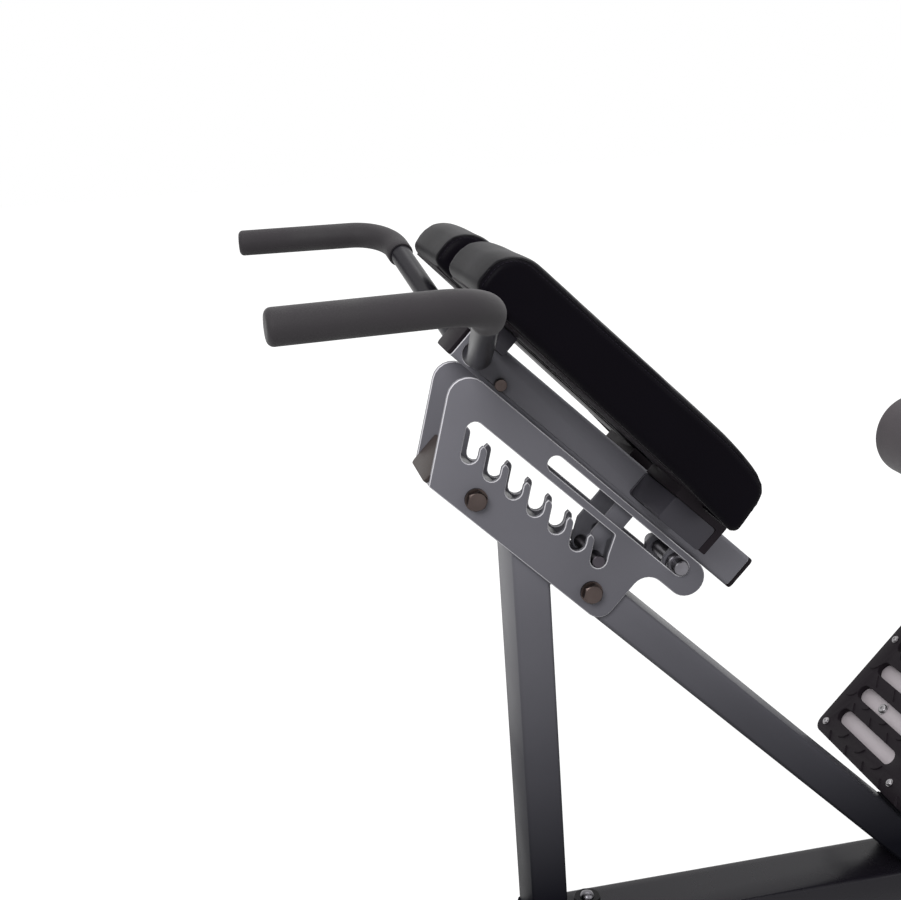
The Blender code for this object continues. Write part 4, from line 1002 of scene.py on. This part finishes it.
def roller_blank(name, radius, length, bore):
    """A foam roller about local Z: bored, with soft rims and dished ends."""
    half = length / 2
    rim = 6 * MM
    bore_rim = 8 * MM
    hollow = 2.2 * MM
    bpy.ops.mesh.primitive_cylinder_add(vertices=80, radius=radius, depth=length, end_fill_type="NGON")
    item = named(name)
    edit_mode(item)
    pick(item, "faces", lambda face: abs(face.normal.z) > 0.9)
    bpy.ops.mesh.inset(thickness=radius - rim - bore - bore_rim)
    bpy.ops.mesh.inset(thickness=rim)
    bpy.ops.mesh.inset(thickness=bore_rim)
    bpy.ops.mesh.bridge_edge_loops()
    pick(item, "edges", lambda edge: all(abs(v.co.xy.length - radius) < 0.1 * MM for v in edge.verts)
         and abs(edge.verts[0].co.z - edge.verts[1].co.z) < 0.1 * MM)
    bpy.ops.mesh.bevel(offset=rim, segments=7, affect="EDGES")
    pick(item, "edges", lambda edge: abs(edge.verts[0].co.z - edge.verts[1].co.z) > half
         and edge.verts[0].co.xy.length > radius - 1 * MM)
    bpy.ops.mesh.subdivide(number_cuts=14)
    object_mode()
    for vert in item.data.vertices:
        away = vert.co.xy.length
        if abs(vert.co.z) > half - 1 * MM and away < radius - rim:
            dish = hollow * (1 - (away - bore) / (radius - rim - bore))
            vert.co.z -= math.copysign(dish, vert.co.z)
        if away > bore + 1 * MM:
            swell = random_field.noise(Vector((vert.co.x * 24, vert.co.y * 24, vert.co.z * 10)))
            vert.co.x *= 1 + swell * 0.006
            vert.co.y *= 1 + swell * 0.006
    return item


class BENCH_OT_ankle_rollers(bpy.types.Operator):
    """Shape the two padded ankle rollers with their bores and soft rims"""

    bl_idname = "bench.ankle_rollers"
    bl_label = "Ankle rollers"

    def execute(self, context):
        sizes = context.scene.bench_cushions
        skin = upholstery_vinyl("roller_skin", sizes.roller, 0.56, 0.25, 800)
        low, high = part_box("ankle_roller_near")
        bore = BAR_RADIUS + 0.4 * MM
        near = roller_blank("roller_foam_near", (high.z - low.z) / 2 + ROLLER_FULLER, high.y - low.y, bore)
        apply_place(near, axes(middle_of("ankle_roller_near"), LEVEL, Vector((0, 0, -1))))
        face_outwards(near)
        smooth(near, 50)
        for item, label in near_and_far(near):
            dress(item, skin, f"{label}_roller")
            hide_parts(f"ankle_roller_{label}")
        return {"FINISHED"}


def handle_points():
    """Tip, corner and root of the near half of the handle."""
    return BOLT + GRIP_TIP, BOLT + GRIP_CORNER, on_slope(*GRIP_ROOT)


def grip_path():
    """Path and radii of the near grip: flat tip with a round rim, straight sleeve, bend."""
    tip, corner, root = handle_points()
    along = (corner - tip).normalized()
    path = []
    radii = []
    rim_steps = 6
    for step in range(rim_steps + 1):
        turn = math.pi / 2 * step / rim_steps
        path.append(tip + along * (GRIP_RIM * (1 - math.cos(turn)) + 0.4 * MM))
        radii.append(GRIP_RADIUS - GRIP_RIM + GRIP_RIM * math.sin(turn))
    bend = arc_corner(tip, corner, root, GRIP_BEND, 20)
    straight = (bend[0] - path[-1]).length
    runs = 12
    last_rim = path[-1]
    path += [last_rim + along * straight * step / runs for step in range(1, runs)]
    path += bend
    past = (root - corner).normalized() * GRIP_PAST_BEND
    path += [bend[-1] + past * share for share in (0.5, 0.93, 1.0)]
    radii += [GRIP_RADIUS] * (len(path) - len(radii) - 1)
    radii.append(GRIP_RADIUS - 0.8 * MM)
    return path, radii


def handlebar(name):
    """The bent bar through the carriage tube, from grip to grip."""
    tip, corner, root = handle_points()
    start = tip + (corner - tip).normalized() * (GRIP_WALL + 0.5 * MM)
    half = [start] + arc_corner(start, corner, root, GRIP_BEND, 16)
    far_root = Vector((root.x, -root.y, root.z))
    half += arc_corner(corner, root, far_root, GRIP_BEND, 10)
    path = half + [Vector((p.x, -p.y, p.z)) for p in reversed(half)]
    return round_bar(name, path, [BAR_RADIUS] * len(path), 14)


class BENCH_OT_hand_grips(bpy.types.Operator):
    """Bend the handlebar and pull the rubber sleeves over its ends and bends"""

    bl_idname = "bench.hand_grips"
    bl_label = "Handlebar and grips"

    def execute(self, context):
        coat = powder_coat("handlebar_powder_coat", context.scene.bench_paint.base, 0.34)
        bar = handlebar("bent_handlebar")
        smooth(bar, 40)
        dress(bar, coat, "carriage")
        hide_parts("handlebar")
        rubber = soft_rubber("grip_rubber", context.scene.bench_hardware.rubber)
        path, radii = grip_path()
        near = round_bar("grip_sleeve_near", path, radii, 14)
        inside = [place for place in path if (place - path[0]).length > GRIP_WALL]
        inside.append(2 * path[-1] - path[-2])
        trim(near, round_bar("grip_core", inside, [BAR_RADIUS + 0.3 * MM] * len(inside), 14))
        smooth(near, 40)
        for item, label in near_and_far(near):
            dress(item, rubber, "carriage")
            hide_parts(f"hand_grip_{label}")
        return {"FINISHED"}


def tread_frame(s, y, n):
    """Place on the foot plate: local X across, local Y up the plate, local Z towards the user."""
    return axes(on_slope(s, y, n), -ACROSS, OFF_SLOPE)


def one_rib(length, width, high):
    """A raised lens-shaped rib, along local X on the XY plane."""
    bpy.ops.mesh.primitive_plane_add(size=1)
    item = named("rib")
    item.scale = (length, width, 1)
    apply_place(item)
    edit_mode(item)
    pick(item, "edges", lambda edge: abs(edge.verts[0].co.x - edge.verts[1].co.x) > length / 2)
    bpy.ops.mesh.subdivide(number_cuts=5)
    bpy.ops.mesh.select_all(action="SELECT")
    bpy.ops.mesh.extrude_region_move(TRANSFORM_OT_translate={"value": (0, 0, high)})
    object_mode()
    for vert in item.data.vertices:
        share = abs(vert.co.x) / (length / 2)
        top = vert.co.z > high / 2
        vert.co.y *= (1 - 0.8 * share ** 2) * (0.5 if top else 1.0)
        vert.co.x *= 0.9 if top else 1.0
        vert.co.y -= 1.2 * MM * (1 - share ** 2)
        if not top:
            vert.co.z = -0.1 * MM
    return item


def rib_places():
    """Two kinds of ribs in rows up the tread, one leaning left and one leaning right."""
    low, high = slope_box("foot_tread")
    pitch_y = 43 * MM
    pitch_n = 46.5 * MM
    kinds = ((17 * MM, 17.5 * MM, 42), (40 * MM, 4.3 * MM, -48))
    places = []
    for from_far, up, lean in kinds:
        turn = Matrix.Rotation(math.radians(lean), 4, "Z")
        for column in range(int((high.y - low.y) / pitch_y) + 1):
            for row in range(int((high.z - low.z) / pitch_n) + 1):
                y = high.y - from_far - column * pitch_y
                n = low.z + up + row * pitch_n
                if not near_screw(y, n):
                    places.append(tread_frame(low.x, y, n) @ turn)
    return places


def tread_slab():
    """A copy of the tread, made thicker, that trims the ribs to its outline and slots."""
    low, high = slope_box("foot_tread")
    slab = add_piece("tread_slab", frame["nodes"]["foot_tread"].data.copy())
    middle = on_slope((low.x + high.x) / 2, 0, 0)
    thicker = Matrix.Scale(2, 4, DOWN_SLOPE)
    slab.data.transform(Matrix.Translation(middle) @ thicker @ Matrix.Translation(-middle))
    face_outwards(slab)
    return slab


def screw_spots():
    """Places (y, n) of the small screws round the tread."""
    low, high = slope_box("foot_tread")
    side = high.y - 14 * MM
    lower = low.z + 15 * MM
    upper = high.z - 15 * MM
    edge = high.y - 11 * MM
    middle = (low.z + high.z) / 2
    spots = [(0, lower), (0, upper), (-edge, middle), (edge, middle)]
    return spots + [(y, n) for y in (-side, side) for n in (lower, upper)]


def near_screw(y, n):
    """True close to a screw of the tread."""
    return any(math.hypot(y - a, n - b) < 9 * MM for a, b in screw_spots())


def one_screw(name, washer, head, high, recess):
    """A washer-faced screw head with a hexagon recess, its seat on the local XY plane."""
    thick = 0.8 * MM
    bpy.ops.mesh.primitive_cylinder_add(vertices=32, radius=washer, depth=thick, end_fill_type="NGON")
    item = named(name)
    edit_mode(item)
    pick(item, "faces", lambda face: face.normal.z > 0.9)
    bpy.ops.mesh.inset(thickness=washer - head)
    bpy.ops.mesh.extrude_region_move(TRANSFORM_OT_translate={"value": (0, 0, high)})
    bpy.ops.mesh.bevel(offset=high * 0.55, segments=4, affect="EDGES")
    object_mode()
    apply_place(item, Matrix.Translation((0, 0, thick / 2 + 0.05 * MM)))
    bpy.ops.mesh.primitive_cylinder_add(vertices=6, radius=recess, depth=high * 1.3)
    tool = named("recess")
    apply_place(tool, Matrix.Translation((0, 0, thick + high)))
    trim(item, tool)
    return item


class BENCH_OT_foot_plate(bpy.types.Operator):
    """Raise the tread's ribs and set the screws of the tread and the foot plate"""

    bl_idname = "bench.foot_plate"
    bl_label = "Foot plate details"

    def execute(self, context):
        sizes = context.scene.bench_hardware
        plastic = moulded_black("tread_rib_plastic", sizes.plastic)
        bright = plated_steel("bright_screw_plating", sizes.screws, 0.34)
        ribs = copies_as_one(one_rib(sizes.rib_length, 4 * MM, sizes.rib_height), "tread_ribs", rib_places())
        trim(ribs, tread_slab(), "INTERSECT")
        smooth(ribs, 30)
        dress(ribs, plastic, "frame")
        low, _ = slope_box("foot_tread")
        spots = [tread_frame(low.x, y, n) for y, n in screw_spots()]
        small = one_screw("small_screw", 5 * MM, 3.9 * MM, 2 * MM, 1.5 * MM)
        screws = copies_as_one(small, "tread_screws", spots)
        low, _ = slope_box("foot_plate")
        from_middle = 107 * MM
        rows = [middle_slope("foot_brace_lower").z, middle_slope("foot_brace_upper").z]
        spots = [tread_frame(low.x, side * from_middle, n) for n in rows for side, _ in SIDES]
        large = one_screw("large_screw", 7.5 * MM, 6 * MM, 2.8 * MM, 2 * MM)
        bolts = copies_as_one(large, "foot_plate_bolts", spots)
        for item in (screws, bolts):
            smooth(item, 30)
            dress(item, bright, "frame")
        return {"FINISHED"}


def weld_bead(name, path, width, body, material, closed=True):
    """A rippled fillet weld along a path."""
    per_ripple = 4
    spots = even_points(path, width * 0.62 / per_ripple, closed)
    radii = []
    for number, (spot, _) in enumerate(spots):
        wave = 0.5 + 0.5 * math.cos(math.tau * number / per_ripple)
        uneven = random_field.noise(spot * 120)
        radii.append(width / 2 * (0.86 + 0.14 * wave + 0.07 * uneven))
    item = round_bar(name, [spot for spot, _ in spots], radii, 2, closed)
    smooth(item, 80)
    dress(item, material, body)


def rectangle(middle, x_axis, y_axis, x_half, y_half, radius):
    """Closed path round a rectangle with rounded corners."""
    corners = []
    for a, b in ((-1, -1), (1, -1), (1, 1), (-1, 1)):
        corners.append((middle + x_axis * a * x_half + y_axis * b * y_half, radius))
    return round_loop(corners, 5)


def frame_welds(width, out, coat):
    """Welds of the leg, strut, post and roller arm."""
    corner = 5 * MM
    leg_low, leg_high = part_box("front_leg")
    leg_x = (leg_high.x - leg_low.x) / 2 + out
    leg_y = leg_high.y + out
    leg_foot = Vector(((leg_low.x + leg_high.x) / 2, 0, leg_low.z))
    strut_low, strut_high = slope_box("strut")
    leg_head = on_slope((leg_foot.x - BOLT.x) / DOWN_SLOPE.x - strut_low.z, 0, strut_low.z)
    strut_foot = on_slope((BOLT.z - leg_low.z) / OFF_SLOPE.z, 0, 0)
    post_low, post_high = slope_box("roller_post")
    post_foot = on_slope((post_low.x + post_high.x) / 2, 0, post_low.z)
    arm_low, arm_high = slope_box("roller_arm")
    arm_foot = on_slope(arm_high.x, 0, (arm_low.z + arm_high.z) / 2)
    welds = {
        "weld_leg_foot": (leg_foot, LEVEL, leg_x, leg_y),
        "weld_leg_head": (leg_head, DOWN_SLOPE, leg_x / DOWN_SLOPE.x, leg_y),
        "weld_strut_foot": (strut_foot, LEVEL, strut_high.z / DOWN_SLOPE.x + out, leg_y),
        "weld_post_foot": (post_foot, DOWN_SLOPE, (post_high.x - post_low.x) / 2 + out, post_high.y + out),
        "weld_roller_arm": (arm_foot, OFF_SLOPE, (arm_high.z - arm_low.z) / 2 + out, arm_high.y + out),
    }
    for name, (middle, along, half_along, half_across) in welds.items():
        loop = rectangle(middle, along, ACROSS, half_along, half_across, corner)
        weld_bead(name, loop, width, "frame", coat)


def carriage_welds(width, coat, bracket_paint):
    """Welds of the brackets, lugs and latch arms on the carriage tube."""
    tube_low, tube_high = slope_box("carriage_tube")
    from_side = 6.2 * MM
    for side, label in SIDES:
        low, high = slope_box(f"pad_bracket_{label}")
        middle = on_slope((low.x + high.x) / 2, side * tube_high.y, (low.z + high.z) / 2)
        loop = rectangle(middle, DOWN_SLOPE, OFF_SLOPE, (high.x - low.x) / 2, (high.z - low.z) / 2, 3 * MM)
        weld_bead(f"weld_bracket_{label}", loop, width * 0.7, "carriage", bracket_paint)
        for name in ("guide_lug", "latch_arm"):
            low, high = slope_box(f"{name}_{label}", tube_low.z - 1 * MM)
            y = side * (tube_high.y - from_side)
            ends = [on_slope(low.x, y, tube_low.z), on_slope(high.x, y, tube_low.z)]
            weld_bead(f"weld_{name}_{label}", ends, width * 0.6, "carriage", coat, closed=False)


class BENCH_OT_welds(bpy.types.Operator):
    """Lay the fillet welds where the tubes and brackets meet"""

    bl_idname = "bench.welds"
    bl_label = "Welds"

    def execute(self, context):
        width = context.scene.bench_hardware.weld_width
        paint = context.scene.bench_paint
        # The weld coat carries the same painted shade towards the floor.
        coat = powder_coat("weld_graphite", paint.graphite, 0.42, painted_shade_tone=paint.graphite_painted_shade)
        bracket_paint = powder_coat("weld_bracket_coat", paint.bracket, 0.42)
        frame_welds(width, width * 0.12, coat)
        carriage_welds(width, coat, bracket_paint)
        return {"FINISHED"}


def seen_rays(tree):
    """1 for camera, glossy and transmission rays."""
    rays = tree.nodes.new("ShaderNodeLightPath")
    total = rays.outputs["Is Camera Ray"]
    for name in ("Is Glossy Ray", "Is Transmission Ray"):
        both = tree.nodes.new("ShaderNodeMath")
        both.operation = "MAXIMUM"
        tree.links.new(total, both.inputs[0])
        tree.links.new(rays.outputs[name], both.inputs[1])
        total = both.outputs[0]
    return total


def empty_tree(owner):
    """Shader nodes of a material or a world, with the default ones taken out."""
    owner.use_nodes = True
    owner.node_tree.nodes.clear()
    return owner.node_tree


def new_nodes(tree, *kinds):
    """One new node of each kind."""
    return [tree.nodes.new(kind) for kind in kinds]


def join_all(tree, *pairs):
    """Join each pair of sockets."""
    for start, end in pairs:
        tree.links.new(start, end)


def studio_floor(bounce):
    """Pale floor: white where it is seen, shaded near the object, with little light thrown back up."""
    material = bpy.data.materials.new("studio_floor")
    tree = empty_tree(material)
    output, glow, cover, both, plain, choose, place, away = new_nodes(
        tree, "ShaderNodeOutputMaterial", "ShaderNodeEmission", "ShaderNodeBsdfDiffuse",
        "ShaderNodeAddShader", "ShaderNodeBsdfDiffuse", "ShaderNodeMixShader", "ShaderNodeTexCoord",
        "ShaderNodeVectorMath",
    )
    cover.inputs["Color"].default_value = (0.2, 0.2, 0.2, 1)
    plain.inputs["Color"].default_value = (bounce, bounce, bounce, 1)
    away.operation = "LENGTH"
    join_all(
        tree,
        (place.outputs["Object"], away.inputs[0]),
        (spread(material, away.outputs["Value"], 0.7, 1.6, 0.9, 1.0), glow.inputs["Strength"]),
        (cover.outputs[0], both.inputs[0]),
        (glow.outputs[0], both.inputs[1]),
        (seen_rays(tree), choose.inputs[0]),
        (plain.outputs[0], choose.inputs[1]),
        (both.outputs[0], choose.inputs[2]),
        (choose.outputs[0], output.inputs["Surface"]),
    )
    return material


def studio_world(seen, unseen):
    """White surroundings where they are seen, and a softer level of light from them."""
    world = bpy.data.worlds.new("studio")
    bpy.context.scene.world = world
    tree = empty_tree(world)
    output, first, second, choose = new_nodes(
        tree, "ShaderNodeOutputWorld", "ShaderNodeBackground", "ShaderNodeBackground", "ShaderNodeMixShader",
    )
    for node, level in ((first, unseen), (second, seen)):
        node.inputs["Color"].default_value = (1, 1, 1, 1)
        node.inputs["Strength"].default_value = level
    join_all(
        tree,
        (seen_rays(tree), choose.inputs[0]),
        (first.outputs[0], choose.inputs[1]),
        (second.outputs[0], choose.inputs[2]),
        (choose.outputs[0], output.inputs["Surface"]),
    )


def soft_light(name, place, aim, size, power):
    """A square area light aimed at a point."""
    data = bpy.data.lights.new(name, "AREA")
    data.shape = "SQUARE"
    data.size = size
    data.energy = power
    light = bpy.data.objects.new(name, data)
    bpy.context.scene.collection.objects.link(light)
    light.location = place
    light.rotation_euler = (Vector(aim) - Vector(place)).to_track_quat("-Z", "Y").to_euler()


def studio_camera():
    """Camera at the photograph's place and angle, as fitted to the edges of plates, strut, leg and beam."""
    picture_wide = 901
    picture_high = 900
    focal = 1338.75
    centre = (463.11, 406.45)
    yaw, pitch, roll = (math.radians(value) for value in (10.09, 13.43, 3.91))
    from_bolt = Vector((-0.2346, -1.3282, 0.4090))
    place = BOLT + from_bolt
    ahead = Vector((math.sin(yaw) * math.cos(pitch), math.cos(yaw) * math.cos(pitch), -math.sin(pitch)))
    right = Vector((math.cos(yaw), -math.sin(yaw), 0))
    down = ahead.cross(right)
    rolled_right = right * math.cos(roll) + down * math.sin(roll)
    rolled_down = -right * math.sin(roll) + down * math.cos(roll)
    data = bpy.data.cameras.new("camera")
    camera = bpy.data.objects.new("camera", data)
    bpy.context.scene.collection.objects.link(camera)
    turn = Matrix((rolled_right, -rolled_down, -ahead)).transposed().to_4x4()
    camera.matrix_world = Matrix.Translation(place) @ turn
    data.sensor_width = 36
    data.lens = focal / picture_wide * data.sensor_width
    data.shift_x = (picture_wide / 2 - centre[0]) / picture_wide
    data.shift_y = -(picture_high / 2 - centre[1]) / picture_wide
    bpy.context.scene.camera = camera


class BENCH_OT_stage(bpy.types.Operator):
    """Set the floor, the studio light and the camera"""

    bl_idname = "bench.stage"
    bl_label = "Stage"

    def execute(self, context):
        stage = context.scene.bench_stage
        deselect_all()
        bpy.ops.mesh.primitive_plane_add(size=30, location=(0, 0, 0))
        floor = named("studio_floor")
        floor.data.materials.append(studio_floor(stage.floor_bounce))
        studio_world(1.0, 0.5)
        aim = (BOLT.x + 0.1, 0, BOLT.z)
        lamps = {
            "key_light": ((-1.5, -2.5, 2.6), 1.6, stage.key_power),
            "fill_light": ((2.4, -2.2, 1.5), 1.8, stage.fill_power),
            "top_light": ((0.3, 0.6, 3.0), 2.2, stage.top_power),
        }
        for name, (place, size, power) in lamps.items():
            soft_light(name, place, aim, size, power)
        studio_camera()
        context.scene.view_settings.view_transform = "Standard"
        return {"FINISHED"}


class BENCH_PT_panel(bpy.types.Panel):
    """Settings and steps of the bench's finish"""

    bl_idname = "BENCH_PT_panel"
    bl_label = "Hyperextension bench"
    bl_space_type = "VIEW_3D"
    bl_region_type = "UI"
    bl_category = "Bench"

    def draw(self, context):
        for group in GROUPS:
            box = self.layout.box()
            settings = getattr(context.scene, group)
            for name in settings.bl_rna.properties.keys():
                if name not in ("rna_type", "name"):
                    box.prop(settings, name)
        for step in STEPS:
            self.layout.operator(step.bl_idname)


GROUPS = {
    "bench_paint": BENCH_PG_paint,
    "bench_cushions": BENCH_PG_cushions,
    "bench_hardware": BENCH_PG_hardware,
    "bench_stage": BENCH_PG_stage,
}
STEPS = (
    BENCH_OT_frame_finish,
    BENCH_OT_thigh_pads,
    BENCH_OT_ankle_rollers,
    BENCH_OT_hand_grips,
    BENCH_OT_foot_plate,
    BENCH_OT_welds,
    BENCH_OT_stage,
)


def register():
    """Register the settings, the steps and the panel."""
    for name, group in GROUPS.items():
        bpy.utils.register_class(group)
        setattr(bpy.types.Scene, name, PointerProperty(type=group))
    for step in STEPS:
        bpy.utils.register_class(step)
    bpy.utils.register_class(BENCH_PT_panel)


def unregister():
    """Take everything out again."""
    bpy.utils.unregister_class(BENCH_PT_panel)
    for step in reversed(STEPS):
        bpy.utils.unregister_class(step)
    for name, group in GROUPS.items():
        delattr(bpy.types.Scene, name)
        bpy.utils.unregister_class(group)


def main():
    """Run every step in order."""
    register()
    bpy.ops.bench.frame_finish()
    bpy.ops.bench.thigh_pads()
    bpy.ops.bench.ankle_rollers()
    bpy.ops.bench.hand_grips()
    bpy.ops.bench.foot_plate()
    bpy.ops.bench.welds()
    bpy.ops.bench.stage()


if __name__ == "__main__":
    main()
